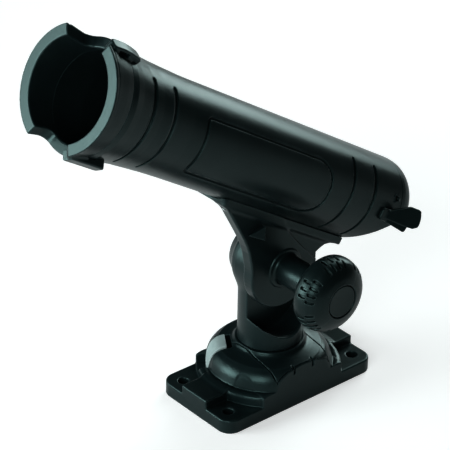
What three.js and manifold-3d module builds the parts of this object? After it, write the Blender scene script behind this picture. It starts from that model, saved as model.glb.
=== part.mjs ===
// Rod holder: a rod tube on a tilting arm, a swivel post, and a four-screw deck base.
// Millimetres, +Z up. The origin is on the base's underside, on the axis of the swivel post.
// +X runs along the base towards the tube's rear end, and the clamp knob is on the -Y side.
import * as THREE from 'three';
import * as BufferGeometryUtils from 'three/addons/utils/BufferGeometryUtils.js';
import Module from 'manifold-3d';

const wasm = await Module();
wasm.setup();

// ---- driving dimensions ----
const GAP = 0.3;                    // clearance between neighbouring pieces
const BASE_LENGTH = 98;
const BASE_WIDTH = 53;
const BASE_CORNER = 7.2;
const BLOCK_FILLET = 5;             // inside corners of the raised block
const TAB_HEIGHT = 7.5;             // the four screw tabs
const BLOCK_HEIGHT = 12.1;          // the raised block between the tabs
const BLOCK_END_HALF = 9.4;         // half the block's width at the base's ends
const BLOCK_SIDE_HALF = 26.4;       // half the block's length along the long sides
const SCREW_X = 41.2;
const SCREW_Y = 17.5;
const SCREW_RADIUS = 2.65;
const SCREW_HEAD_RADIUS = 4.6;
const SCREW_SEAT_DEPTH = 1.6;
const DOME_TOP = 26.9;              // the post's foot stands here
const LOBE_RADIUS = 31.7;
const LIP_RADIUS = 36.7;
const STRIP_HALF = 17;              // half the width of the strip over the dome
const STRIP_FLOOR = 15;
const SLIT_X = 6.1;                 // two slits in the strip's front edge
const SLIT_WIDTH = 0.8;
const SLIT_BOTTOM = 19.6;
const SLIT_TOP = 24;
const SLIT_DEPTH = 2.2;
const SPIGOT_RADIUS = 10;
const SPIGOT_BOTTOM = 3.5;
const RING_BOTTOM = 5.4;            // the groove of the spigot's sealing ring
const RING_TOP = 8;
const RING_DEPTH = 2.6;
const RING_RADIUS = 0.95;
const LATCH_FLOOR = 10.4;           // underside of the latch plate
const LATCH_THICKNESS = 3;
const LATCH_TRAVEL = 2.5;
const LATCH_REAR = 15;              // the plate's end, beyond the spigot
const LATCH_HALF = 13.4;
const LATCH_LIP_HALF = 3;
const LATCH_LIP_REACH = 1.2;        // how far the lip enters the spigot's groove
const LATCH_SLACK = 0.4;            // of the opening past the full travel
const GROOVE_DEPTH = 2;
const SPRING_END = 24.4;
const SPRING_RADIUS = 2.4;
const SPRING_WIRE = 0.4;
const SPRING_TURNS = 5;
const BUTTON_TURN = -34;            // degrees from the -X end, towards the +Y side
const BUTTON_HALF = 5.8;
const BUTTON_BACK = 22;
const BUTTON_TOP = 25.2;
const BUTTON_BOTTOM = 9.2;

const POST_RADIUS = 16.3;
const PIVOT_HEIGHT = 70.4;
const SCOOP_RADIUS = 18;
const SCOOP_HEIGHT = 54.6;          // height of the scoop's axis
const SCOOP_WALL = 3;               // the shell left in front of the well
const WELL_RADIUS = 13;
const WELL_DROP = 7;                // of the well's axis below the scoop's
const EAR_RADIUS = 18.2;
const EAR_FACE = -1;                // y of the ear's toothed side
const EAR_BACK = 13;
const TOOTH_HEIGHT = 1;
const TOOTH_COUNT = 24;
const TOOTH_INNER = 8;
const TOOTH_OUTER = 15;
const TOOTH_ROOT = 0.05;            // the valleys stand this proud of the face

const BOLT_RADIUS = 4;
const BOLT_BORE = BOLT_RADIUS + GAP;
const BOLT_HEAD_FLATS = 13;
const BOLT_HEAD_HEIGHT = 5.3;
const BOLT_HEAD_START = 10;
const BOLT_END = -43.5;
const WASHER_THICKNESS = 1.2;
const WASHER_RADIUS = 6.3;

const TILT = 32;                    // degrees the mouth rises above level
const AXIS_OFFSET = 44.3;           // from the pivot to the tube's axis
const TUBE_RADIUS = 23.4;
const BORE_RADIUS = 20.5;
const TUBE_REAR = 46;
const TUBE_FRONT = -157;
const FLARE_START = -110;
const FLARE_RADIUS = 26;
const BORE_FLARE_START = -140;
const COLLAR_BORE = BORE_RADIUS + 1.2;
const COLLAR_ROOT = FLARE_RADIUS + 1;
const MOUTH = -170.2;
const COLLAR_RADIUS = 28;
const LIP_OUTER = 29.8;
const LIP_INNER = 24.2;
const LIP_DEPTH = 11;               // how far the notches cut back from the mouth
const NOTCH_HALF_ANGLE = 28;
const MOUTH_LEAN = 5.9;             // degrees, of the mouth's plane
const MOUTH_SKEW = 3;
const CAP_HEIGHT = 9.4;             // the rear cap, past the tube's end
const CAP_DRAIN_RADIUS = 5;
const PLUG_LENGTH = 6;
const PLUG_WALL = 2.2;
const LUG_LENGTH = 11.5;
const LUG_WIDTH = 5.4;
const LUG_DEPTH = 7;
const LUG_SLOT_LENGTH = 7;
const LUG_SLOT_HEIGHT = 1.9;
const LUG_CENTRE = -163.6;
const LUG_TOP = 30.4;               // distance of a lug's outer face from the tube's axis
const LUG_TURNS = [0.46, 2.682];    // about the tube's axis, from its top

const ARM_FRONT = -10;
const ARM_BACK = EAR_FACE - TOOTH_HEIGHT - GAP - TOOTH_HEIGHT;
const ARM_DISC_RADIUS = 21.3;
const HUB_RADIUS = 11.2;            // the step round the boss
const HUB_HEIGHT = 0.8;
const SADDLE_HALF = 11;
const SADDLE_FRONT = -60;
const SADDLE_REAR = 30;
const SADDLE_UNDERSIDE = 19.2;
const BOSS_RADIUS = 7.8;
const BOSS_END = -31.6;
const CLUTCH_RADIUS = 6.6;          // the wells that hold the spreading spring
const CLUTCH_BACK = 3.5;
const CLUTCH_FRONT = ARM_BACK - 2.2;
const CLUTCH_WIRE = 0.5;
const CLUTCH_TURNS = 3;
const ARM_SCREW_X = [-54, 14];
const ARM_SCREW_Y = -6.6;
const ARM_SCREW_END = 18.4;
const ARM_SCREW_HOLE_TOP = 30;
const SCREW_SINK = 1.2;             // the head's recess in the tube's wall
const SCREW_HEAD_HEIGHT = 1.6;
const SCREW_SHANK = 1.5;
const SCREW_HEAD = 3.2;
const CLEAT_SCREW_X = 35;
const CLEAT_HALF = 4;               // half the cleat's width
const CLEAT_HEAD_SINK = 0.4;

const KNOB_RADIUS = 19.3;
const KNOB_BACK = -33.2;
const KNOB_FACE = -51.3;
const CAP_RADIUS = 8.2;
const CAP_DEPTH = 2.6;
const INSERT_RADIUS = 7;
const INSERT_FLATS = 11.2;
const INSERT_LENGTH = 9.8;
const INSERT_DEPTH = 3.6;           // below the knob's back
const KNOB_WASHER_RADIUS = 9.4;
const KNOB_WASHER_THICKNESS = 1;

const ARC = 48;                     // facets around the large round pieces
const KNOB_ARC = 36;
const SMALL_ARC = 24;
const SCREW_ARC = 12;
const PAST = 1;                     // how far a cutting tool runs past the surface it cuts

// ---- profiles of the turned pieces: [radius, height or length along the axis] ----
const DOME_PROFILE = [
  [0, TAB_HEIGHT], [LIP_RADIUS, TAB_HEIGHT], [LIP_RADIUS, BLOCK_HEIGHT], [33.4, BLOCK_HEIGHT + 1],
  [LOBE_RADIUS, BLOCK_HEIGHT], [LOBE_RADIUS, 14.6], [30.4, 18.4], [28.6, 21.2], [26.4, 23],
  [22, 24], [18.6, 25.2], [17.4, DOME_TOP], [0, DOME_TOP],
];
const BUTTON_PROFILE = [
  [0, 0], [31.2, 0], [31.2, 14.4], [30.4, 18.2], [28.8, 21.2], [26.6, 23.3], [24, 24.6],
  [21.5, BUTTON_TOP], [0, BUTTON_TOP],
];
const EAR_PROFILE = [
  [0, EAR_FACE], [EAR_RADIUS, EAR_FACE], [EAR_RADIUS, 8.5], [EAR_RADIUS - 1.4, 11],
  [EAR_RADIUS - 4, EAR_BACK], [0, EAR_BACK],
];
const KNOB_PROFILE = [
  [0, KNOB_FACE], [CAP_RADIUS + GAP, KNOB_FACE], [CAP_RADIUS + 3, KNOB_FACE + 0.4],
  [14, KNOB_FACE + 1.9], [17, KNOB_FACE + 4.2], [KNOB_RADIUS - 0.5, KNOB_FACE + 7],
  [KNOB_RADIUS, KNOB_FACE + 9.6], [KNOB_RADIUS - 0.9, KNOB_FACE + 12.6],
  [16.4, KNOB_FACE + 15.6], [12.4, KNOB_FACE + 17.4], [10.4, KNOB_BACK], [0, KNOB_BACK],
];

// ---- materials ----
function material(name, colour, roughness, metalness = 0) {
  const made = new THREE.MeshStandardMaterial({ color: colour, roughness, metalness });
  made.name = name;
  return made;
}
const BLACK_PLASTIC = material('black_plastic', 0x1d2324, 0.5);
const DARK_PLASTIC = material('dark_plastic', 0x171c1d, 0.42);
const PALE_PLASTIC = material('pale_plastic', 0xaeb6b6, 0.55);
const NYLON = material('nylon', 0x2b2f30, 0.6);
const STEEL = material('steel', 0xb9bcbf, 0.3, 1);
const BRASS = material('brass', 0xb08d4a, 0.35, 1);
const RUBBER = material('rubber', 0x101212, 0.9);

// ---- joins and cuts ----
function solid(geometry) {
  const bare = geometry.index ? geometry.toNonIndexed() : geometry.clone();
  bare.deleteAttribute('normal');
  bare.deleteAttribute('uv');
  const merged = BufferGeometryUtils.mergeVertices(bare, 1e-4);
  return new wasm.Manifold(new wasm.Mesh({
    numProp: 3,
    vertProperties: new Float32Array(merged.attributes.position.array),
    triVerts: new Uint32Array(merged.index.array),
  }));
}

function geometryOf(body) {
  const mesh = body.getMesh();
  const geometry = new THREE.BufferGeometry();
  geometry.setAttribute('position', new THREE.BufferAttribute(mesh.vertProperties, 3));
  geometry.setIndex(new THREE.BufferAttribute(mesh.triVerts, 1));
  return geometry;
}

function join(...bodies) {
  return bodies.reduce((all, body) => all.add(body));
}

function cut(body, ...tools) {
  return tools.reduce((left, tool) => left.subtract(tool), body);
}

// ---- simple shapes, each placed where it is used ----
function boxBetween(low, high) {
  const size = high.map((value, i) => value - low[i]);
  const middle = high.map((value, i) => (value + low[i]) / 2);
  return solid(new THREE.BoxGeometry(...size).translate(...middle));
}

function postBetween(radius, low, high, x = 0, y = 0, facets = SMALL_ARC) {
  const shape = new THREE.CylinderGeometry(radius, radius, high - low, facets);
  return solid(shape.rotateX(Math.PI / 2).translate(x, y, (low + high) / 2));
}

function rodAlongY(radius, low, high, x = 0, z = 0, facets = SMALL_ARC) {
  const shape = new THREE.CylinderGeometry(radius, radius, high - low, facets);
  return solid(shape.translate(x, (low + high) / 2, z));
}

function rodAlongX(radius, low, high, y = 0, z = 0, facets = SMALL_ARC) {
  const shape = new THREE.CylinderGeometry(radius, radius, high - low, facets);
  return solid(shape.rotateZ(-Math.PI / 2).translate((low + high) / 2, y, z));
}

// A turned body: profile points are [radius, height] and the axis is Z, X or Y.
function lathe(points, facets) {
  const profile = points.map(([radius, along]) => new THREE.Vector2(radius, along));
  return new THREE.LatheGeometry(profile, facets);
}

function turned(points, facets = ARC) {
  return solid(lathe(points, facets).rotateX(Math.PI / 2));
}

function turnedAboutX(points, facets = ARC) {
  return solid(lathe(points, facets).rotateZ(-Math.PI / 2));
}

function turnedAboutY(points, facets = ARC) {
  return solid(lathe(points, facets));
}

function roundedRectangle(length, width, radius) {
  const x = length / 2;
  const y = width / 2;
  const shape = new THREE.Shape();
  shape.moveTo(-x + radius, -y);
  shape.lineTo(x - radius, -y);
  shape.absarc(x - radius, -y + radius, radius, -Math.PI / 2, 0);
  shape.absarc(x - radius, y - radius, radius, 0, Math.PI / 2);
  shape.absarc(-x + radius, y - radius, radius, Math.PI / 2, Math.PI);
  shape.absarc(-x + radius, -y + radius, radius, Math.PI, 1.5 * Math.PI);
  return shape;
}

function raised(shape, low, high, curveSegments = 6) {
  const options = { depth: high - low, bevelEnabled: false, curveSegments };
  return solid(new THREE.ExtrudeGeometry(shape, options).translate(0, 0, low));
}

// A shape drawn in the XZ plane, extruded along Y.
function slabAlongY(shape, low, high, curveSegments = 12) {
  const options = { depth: high - low, bevelEnabled: false, curveSegments };
  const geometry = new THREE.ExtrudeGeometry(shape, options);
  return solid(geometry.rotateX(Math.PI / 2).translate(0, high, 0));
}

// A coil spring along Z, made as one closed tube with flat ends.
class Helix extends THREE.Curve {
  constructor(radius, length, turns) {
    super();
    Object.assign(this, { radius, length, turns });
  }

  getPoint(t, target = new THREE.Vector3()) {
    const angle = 2 * Math.PI * this.turns * t;
    return target.set(this.radius * Math.cos(angle), this.radius * Math.sin(angle), this.length * t);
  }
}

function coil(radius, wire, length, turns) {
  const section = new THREE.Shape();
  section.absarc(0, 0, wire, 0, 2 * Math.PI);
  const options = {
    steps: turns * 12,
    curveSegments: 3,
    extrudePath: new Helix(radius, length, turns),
    bevelEnabled: false,
  };
  return solid(new THREE.ExtrudeGeometry(section, options));
}

// A ring of triangular teeth facing along Y, from the root plane to the crests.
function toothRing(root, crest) {
  const profile = [
    [TOOTH_INNER, 0], [TOOTH_OUTER, 0], [TOOTH_OUTER, 1], [TOOTH_INNER, 1], [TOOTH_INNER, 0],
  ];
  const geometry = lathe(profile, TOOTH_COUNT * 2);
  const position = geometry.attributes.position;
  const sunk = Math.sign(root - crest);
  for (let i = 0; i < position.count; i += 1) {
    const column = Math.floor(i / profile.length);
    const onTop = position.getY(i) > 0.5;
    const high = column % 2 === 0 ? crest : root + sunk * TOOTH_ROOT;
    position.setY(i, onTop ? high : root + sunk);
  }
  if (crest < root) {
    flipFaces(geometry);
  }
  return solid(geometry);
}

function flipFaces(geometry) {
  const index = geometry.index.array;
  for (let i = 0; i < index.length; i += 3) {
    [index[i], index[i + 1]] = [index[i + 1], index[i]];
  }
}

// ---- base ----
function blockOutline() {
  const end = BASE_LENGTH / 2;
  const side = BASE_WIDTH / 2;
  const fillet = BLOCK_FILLET;
  const shape = new THREE.Shape();
  shape.moveTo(-BLOCK_SIDE_HALF, -side);
  shape.lineTo(BLOCK_SIDE_HALF, -side);
  shape.lineTo(BLOCK_SIDE_HALF, -BLOCK_END_HALF - fillet);
  shape.absarc(BLOCK_SIDE_HALF + fillet, -BLOCK_END_HALF - fillet, fillet, Math.PI, Math.PI / 2, true);
  shape.lineTo(end, -BLOCK_END_HALF);
  shape.lineTo(end, BLOCK_END_HALF);
  shape.lineTo(BLOCK_SIDE_HALF + fillet, BLOCK_END_HALF);
  shape.absarc(BLOCK_SIDE_HALF + fillet, BLOCK_END_HALF + fillet, fillet, 1.5 * Math.PI, Math.PI, true);
  shape.lineTo(BLOCK_SIDE_HALF, side);
  shape.lineTo(-BLOCK_SIDE_HALF, side);
  shape.lineTo(-BLOCK_SIDE_HALF, BLOCK_END_HALF + fillet);
  shape.absarc(-BLOCK_SIDE_HALF - fillet, BLOCK_END_HALF + fillet, fillet, 0, -Math.PI / 2, true);
  shape.lineTo(-end, BLOCK_END_HALF);
  shape.lineTo(-end, -BLOCK_END_HALF);
  shape.lineTo(-BLOCK_SIDE_HALF - fillet, -BLOCK_END_HALF);
  shape.absarc(-BLOCK_SIDE_HALF - fillet, -BLOCK_END_HALF - fillet, fillet, Math.PI / 2, 0, true);
  return shape;
}

// The dome: a bell under the post, a groove, and a ring lip, cut flush with the long sides.
function domeBody() {
  const side = BASE_WIDTH / 2;
  const reach = LIP_RADIUS + PAST;
  const band = boxBetween([-reach, -side, 0], [reach, side, DOME_TOP + PAST]);
  return turned(DOME_PROFILE).intersect(band);
}

function screwHoles() {
  const holes = [];
  for (const x of [-SCREW_X, SCREW_X]) {
    for (const y of [-SCREW_Y, SCREW_Y]) {
      holes.push(postBetween(SCREW_RADIUS, -PAST, TAB_HEIGHT + PAST, x, y));
      holes.push(postBetween(SCREW_HEAD_RADIUS, TAB_HEIGHT - SCREW_SEAT_DEPTH, TAB_HEIGHT + PAST, x, y));
    }
  }
  return join(...holes);
}

function stripRegion(grow) {
  const half = STRIP_HALF + grow;
  const reach = BASE_WIDTH / 2 + (grow > 0 ? PAST : 0);
  return boxBetween([-half, -reach, STRIP_FLOOR - grow], [half, reach, DOME_TOP + grow]);
}

// The latch parts are drawn facing -X and turned to the button's side of the dome.
function atButton(body) {
  return body.rotate([0, 0, BUTTON_TURN]);
}

function buttonBlock(grow, reach) {
  return boxBetween(
    [-reach, -BUTTON_HALF - grow, BUTTON_BOTTOM - grow],
    [-BUTTON_BACK + grow + (grow > 0 ? LATCH_TRAVEL : 0), BUTTON_HALF + grow, BUTTON_TOP + grow],
  );
}

function latchPocket() {
  return boxBetween(
    [-BUTTON_BACK - PAST, -LATCH_HALF - GAP, LATCH_FLOOR - GAP],
    [LATCH_REAR + LATCH_TRAVEL + GAP, LATCH_HALF + GAP, STRIP_FLOOR],
  );
}

function springPocket() {
  const centre = LATCH_FLOOR + LATCH_THICKNESS / 2;
  const reach = SPRING_RADIUS + SPRING_WIRE + GAP;
  return boxBetween([LATCH_REAR, -reach, centre - reach], [SPRING_END, reach, STRIP_FLOOR]);
}

function mountingBase() {
  const plate = raised(roundedRectangle(BASE_LENGTH, BASE_WIDTH, BASE_CORNER), 0, TAB_HEIGHT);
  const limits = raised(roundedRectangle(BASE_LENGTH, BASE_WIDTH, BASE_CORNER), 0, DOME_TOP);
  const block = raised(blockOutline(), 0, BLOCK_HEIGHT).intersect(limits);
  const socket = postBetween(SPIGOT_RADIUS + GAP, SPIGOT_BOTTOM - GAP, DOME_TOP + PAST, 0, 0, ARC);
  const pockets = join(buttonBlock(GAP, LIP_RADIUS), latchPocket(), springPocket());
  return cut(join(plate, block, domeBody()), screwHoles(), socket, stripRegion(GAP), atButton(pockets));
}

function domeSaddle() {
  const body = domeBody().intersect(stripRegion(0));
  const hole = postBetween(SPIGOT_RADIUS + GAP, 0, DOME_TOP + PAST, 0, 0, ARC);
  return cut(body, hole, atButton(buttonBlock(GAP - 0.1, LIP_RADIUS + PAST)), slit(-SLIT_X), slit(SLIT_X));
}

function slit(x) {
  const half = SLIT_WIDTH / 2;
  const side = BASE_WIDTH / 2;
  return boxBetween([x - half, -side - PAST, SLIT_BOTTOM], [x + half, -side + SLIT_DEPTH, SLIT_TOP]);
}

function releaseButton() {
  return buttonBlock(0, LIP_RADIUS).intersect(turned(BUTTON_PROFILE));
}

// The plate rides under the strip. Its lip reaches into the spigot's groove from the +X side.
function latchPlate() {
  const top = LATCH_FLOOR + LATCH_THICKNESS;
  const plate = boxBetween([-BUTTON_BACK + GAP, -LATCH_HALF, LATCH_FLOOR], [LATCH_REAR, LATCH_HALF, top]);
  const clear = SPIGOT_RADIUS + GAP;
  const shift = LATCH_TRAVEL + LATCH_SLACK;
  const opening = join(
    postBetween(clear, 0, DOME_TOP, 0, 0, ARC),
    postBetween(clear, 0, DOME_TOP, -shift, 0, ARC),
    boxBetween([-shift, -clear, 0], [0, clear, DOME_TOP]),
  );
  const lip = boxBetween(
    [SPIGOT_RADIUS - LATCH_LIP_REACH, -LATCH_LIP_HALF, LATCH_FLOOR],
    [LATCH_REAR, LATCH_LIP_HALF, top],
  );
  return join(cut(plate, opening), lip);
}

function latchSpring() {
  const length = SPRING_END - LATCH_REAR - 2 * GAP - 2 * SPRING_WIRE;
  return coil(SPRING_RADIUS, SPRING_WIRE, length, SPRING_TURNS);
}

// ---- post ----
// The spigot has a groove for its sealing ring and another for the latch's lip.
function spigotBody() {
  const grooveLow = LATCH_FLOOR - GAP;
  const grooveHigh = LATCH_FLOOR + LATCH_THICKNESS + GAP;
  return turned([
    [0, SPIGOT_BOTTOM], [SPIGOT_RADIUS, SPIGOT_BOTTOM],
    [SPIGOT_RADIUS, RING_BOTTOM], [SPIGOT_RADIUS - RING_DEPTH, RING_BOTTOM],
    [SPIGOT_RADIUS - RING_DEPTH, RING_TOP], [SPIGOT_RADIUS, RING_TOP],
    [SPIGOT_RADIUS, grooveLow], [SPIGOT_RADIUS - GROOVE_DEPTH, grooveLow],
    [SPIGOT_RADIUS - GROOVE_DEPTH, grooveHigh], [SPIGOT_RADIUS, grooveHigh],
    [SPIGOT_RADIUS, DOME_TOP + PAST], [0, DOME_TOP + PAST],
  ]);
}

function columnBody() {
  const column = turned([
    [0, DOME_TOP + GAP], [POST_RADIUS, DOME_TOP + GAP], [POST_RADIUS, PIVOT_HEIGHT], [0, PIVOT_HEIGHT],
  ]);
  const reach = POST_RADIUS + PAST;
  const scoop = rodAlongY(SCOOP_RADIUS, -reach, EAR_FACE, 0, SCOOP_HEIGHT, ARC);
  const above = boxBetween([-reach, -reach, SCOOP_HEIGHT], [reach, EAR_FACE, PIVOT_HEIGHT + PAST]);
  const wellFront = SCOOP_WALL - POST_RADIUS;
  const well = rodAlongY(WELL_RADIUS, wellFront, EAR_FACE - 2, 0, SCOOP_HEIGHT - WELL_DROP, ARC);
  return cut(column, scoop, above, well);
}

function earCuts() {
  const reach = POST_RADIUS + PAST;
  const headSeat = BOLT_HEAD_START - WASHER_THICKNESS - 2 * GAP;
  return join(
    rodAlongY(BOLT_BORE, -reach, reach),
    rodAlongY(CLUTCH_RADIUS, EAR_FACE - TOOTH_HEIGHT - PAST, CLUTCH_BACK),
    hexAlongY(BOLT_HEAD_FLATS / 2 + GAP, headSeat, reach),
  );
}

function swivelPost() {
  const ear = join(turnedAboutY(EAR_PROFILE), toothRing(EAR_FACE, EAR_FACE - TOOTH_HEIGHT));
  const atPivot = (body) => body.translate([0, 0, PIVOT_HEIGHT]);
  return cut(join(spigotBody(), columnBody(), atPivot(ear)), atPivot(earCuts()));
}

function spigotRing() {
  const centre = (RING_BOTTOM + RING_TOP) / 2;
  const profile = new THREE.Path();
  profile.absarc(SPIGOT_RADIUS - GAP - RING_RADIUS, centre, RING_RADIUS, 0, 2 * Math.PI);
  const points = profile.getPoints(6).map((point) => [point.x, point.y]);
  points[points.length - 1] = points[0];
  return turned(points, SMALL_ARC);
}

// ---- clamp bolt ----
function hexAlongY(halfFlats, low, high) {
  return rodAlongY(halfFlats / Math.cos(Math.PI / 6), low, high, 0, 0, 6);
}

function tiltBolt() {
  const head = hexAlongY(BOLT_HEAD_FLATS / 2, BOLT_HEAD_START, BOLT_HEAD_START + BOLT_HEAD_HEIGHT);
  return join(head, rodAlongY(BOLT_RADIUS, BOLT_END, BOLT_HEAD_START + PAST));
}

function washer(radius, low, high) {
  return cut(rodAlongY(radius, low, high), rodAlongY(BOLT_BORE, low - PAST, high + PAST));
}

function boltWasher() {
  const high = BOLT_HEAD_START - GAP;
  return washer(WASHER_RADIUS, high - WASHER_THICKNESS, high);
}

function clutchSpring() {
  const length = CLUTCH_BACK - CLUTCH_FRONT - 2 * (GAP + CLUTCH_WIRE);
  return coil(CLUTCH_RADIUS - 2 * CLUTCH_WIRE, CLUTCH_WIRE, length, CLUTCH_TURNS);
}

// ---- arm: drawn in its own frame, +X towards the tube's rear, +Z towards the tube ----
function armOutline() {
  const shape = new THREE.Shape();
  shape.moveTo(-66, 26);
  shape.bezierCurveTo(-54, 15, -33, 8, -25, -2);
  shape.quadraticCurveTo(-22, -5, -19.6, -8.4);
  shape.absarc(0, 0, ARM_DISC_RADIUS, Math.PI + 0.405, 2 * Math.PI + 0.61, false);
  shape.quadraticCurveTo(21, 19, 34, 25);
  shape.lineTo(34, 32);
  shape.lineTo(-66, 32);
  return shape;
}

function armSaddle() {
  const top = AXIS_OFFSET - TUBE_RADIUS / 2;
  return boxBetween([SADDLE_FRONT, -SADDLE_HALF, SADDLE_UNDERSIDE], [SADDLE_REAR, SADDLE_HALF, top]);
}

function armScrewHole(x) {
  const low = ARM_SCREW_END - GAP;
  return postBetween(SCREW_SHANK + GAP, low, ARM_SCREW_HOLE_TOP, x, ARM_SCREW_Y);
}

function tiltArm() {
  const plate = slabAlongY(armOutline(), ARM_FRONT, ARM_BACK);
  const hub = rodAlongY(HUB_RADIUS, ARM_FRONT - HUB_HEIGHT, ARM_BACK);
  const boss = rodAlongY(BOSS_RADIUS, BOSS_END, ARM_BACK);
  const teeth = toothRing(ARM_BACK, ARM_BACK + TOOTH_HEIGHT);
  const bed = rodAlongX(TUBE_RADIUS + GAP, SADDLE_FRONT - TUBE_RADIUS, TUBE_REAR, 0, AXIS_OFFSET, ARC);
  const bore = rodAlongY(BOLT_BORE, BOSS_END - PAST, PAST);
  const springWell = rodAlongY(CLUTCH_RADIUS, CLUTCH_FRONT, PAST);
  const body = join(plate, hub, boss, armSaddle(), teeth);
  return cut(body, bed, bore, springWell, ...ARM_SCREW_X.map(armScrewHole));
}

// ---- tube ----
// The tube is drawn about the X axis and raised to its place over the arm.
function raiseToTube(body) {
  return body.translate([0, 0, AXIS_OFFSET]);
}

// The wall flares towards the mouth, where the collar is joined on.
function tubeWall() {
  return turnedAboutX([
    [BORE_RADIUS, TUBE_REAR], [BORE_RADIUS, BORE_FLARE_START], [COLLAR_BORE, TUBE_FRONT],
    [COLLAR_ROOT, TUBE_FRONT], [COLLAR_ROOT, TUBE_FRONT + 4], [FLARE_RADIUS - 1.2, -142],
    [TUBE_RADIUS + 0.7, -128], [TUBE_RADIUS, FLARE_START], [TUBE_RADIUS, TUBE_REAR],
    [BORE_RADIUS, TUBE_REAR],
  ]);
}

// A lug for a cord, with a slot through it, on the near side of the mouth.
function cordLug(turn) {
  const block = new THREE.BoxGeometry(LUG_LENGTH, LUG_WIDTH, LUG_DEPTH);
  block.translate(LUG_CENTRE, 0, LUG_TOP - LUG_DEPTH / 2);
  return solid(block.rotateX(turn));
}

function cordSlot(turn) {
  const slot = new THREE.BoxGeometry(LUG_SLOT_LENGTH, LUG_WIDTH + 2 * PAST, LUG_SLOT_HEIGHT);
  slot.translate(LUG_CENTRE, 0, LUG_TOP - LUG_SLOT_HEIGHT);
  return solid(slot.rotateX(turn));
}

function rodTube() {
  const cleatHole = rodAlongY(SCREW_SHANK + GAP, -TUBE_RADIUS - PAST, -BORE_RADIUS + PAST, CLEAT_SCREW_X, 0);
  return raiseToTube(cut(tubeWall(), ...ARM_SCREW_X.map(armScrewSpace), cleatHole));
}

// The height of the bore's wall over an arm screw, from the tube's axis.
function boreFloor() {
  return -Math.sqrt(BORE_RADIUS ** 2 - ARM_SCREW_Y ** 2);
}

function armScrewSpace(x) {
  const low = boreFloor() - SCREW_SINK;
  const high = -BORE_RADIUS / 2;
  return join(
    postBetween(SCREW_SHANK + GAP, -TUBE_RADIUS - PAST, high, x, ARM_SCREW_Y, SCREW_ARC),
    postBetween(SCREW_HEAD + GAP, low, high, x, ARM_SCREW_Y, SCREW_ARC),
  );
}

function armScrew(x) {
  const seat = AXIS_OFFSET + boreFloor() - SCREW_SINK + GAP;
  return join(
    postBetween(SCREW_SHANK, ARM_SCREW_END, seat + PAST / 2, x, ARM_SCREW_Y, SCREW_ARC),
    postBetween(SCREW_HEAD, seat, seat + SCREW_HEAD_HEIGHT, x, ARM_SCREW_Y, SCREW_ARC),
  );
}

// Turns a shape drawn in XY so that it faces along +X, with its own +Y upwards.
const ALONG_X = new THREE.Matrix4().makeBasis(
  new THREE.Vector3(0, 1, 0),
  new THREE.Vector3(0, 0, 1),
  new THREE.Vector3(1, 0, 0),
);

// A wedge, seen along the tube, that cuts a notch out of the mouth's rim.
function notch(turn) {
  const half = THREE.MathUtils.degToRad(NOTCH_HALF_ANGLE);
  const reach = 2 * LIP_OUTER;
  const shape = new THREE.Shape();
  shape.moveTo(0, 0);
  shape.lineTo(-reach * Math.sin(half), reach * Math.cos(half));
  shape.lineTo(reach * Math.sin(half), reach * Math.cos(half));
  const depth = 3 * LIP_DEPTH;
  const wedge = new THREE.ExtrudeGeometry(shape, { depth, bevelEnabled: false });
  wedge.applyMatrix4(ALONG_X).rotateX(turn).translate(MOUTH + LIP_DEPTH - depth, 0, 0);
  return solid(wedge);
}

// The plane of the mouth leans forward a little at its top and at its far side.
function mouthTrim() {
  const lean = THREE.MathUtils.degToRad(MOUTH_LEAN);
  const skew = THREE.MathUtils.degToRad(MOUTH_SKEW);
  const size = 4 * LIP_OUTER;
  const block = new THREE.BoxGeometry(size, size, size).translate(-size / 2, 0, 0);
  return solid(block.rotateY(-lean).rotateZ(skew).translate(MOUTH, 0, 0));
}

function mouthCollar() {
  const front = MOUTH - LIP_DEPTH;
  const rear = TUBE_FRONT - GAP;
  const bell = turnedAboutX([
    [LIP_INNER, front], [LIP_OUTER, front], [LIP_OUTER, MOUTH + 1], [COLLAR_RADIUS, MOUTH + 10],
    [COLLAR_ROOT, rear], [COLLAR_BORE, rear], [LIP_INNER, MOUTH + 8], [LIP_INNER, front],
  ]);
  const clear = rodAlongX(LIP_INNER + 1, front, rear, 0, 0, ARC);
  const lugs = cut(join(...LUG_TURNS.map(cordLug)), clear, ...LUG_TURNS.map(cordSlot));
  return raiseToTube(cut(join(cut(bell, notch(0), notch(Math.PI)), lugs), mouthTrim()));
}

// The domed cap is held by a ring in the bore, and has a drain hole in its middle.
function endCap() {
  const plug = BORE_RADIUS - GAP;
  const seat = TUBE_REAR + GAP;
  return raiseToTube(turnedAboutX([
    [CAP_DRAIN_RADIUS, seat], [plug - PLUG_WALL, seat], [plug - PLUG_WALL, TUBE_REAR - PLUG_LENGTH],
    [plug, TUBE_REAR - PLUG_LENGTH], [plug, seat], [TUBE_RADIUS, seat],
    [TUBE_RADIUS - 0.3, TUBE_REAR + 2.4], [TUBE_RADIUS - 2.4, TUBE_REAR + 6],
    [TUBE_RADIUS - 7, TUBE_REAR + 9], [CAP_DRAIN_RADIUS, TUBE_REAR + CAP_HEIGHT], [CAP_DRAIN_RADIUS, seat],
  ]));
}

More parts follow.
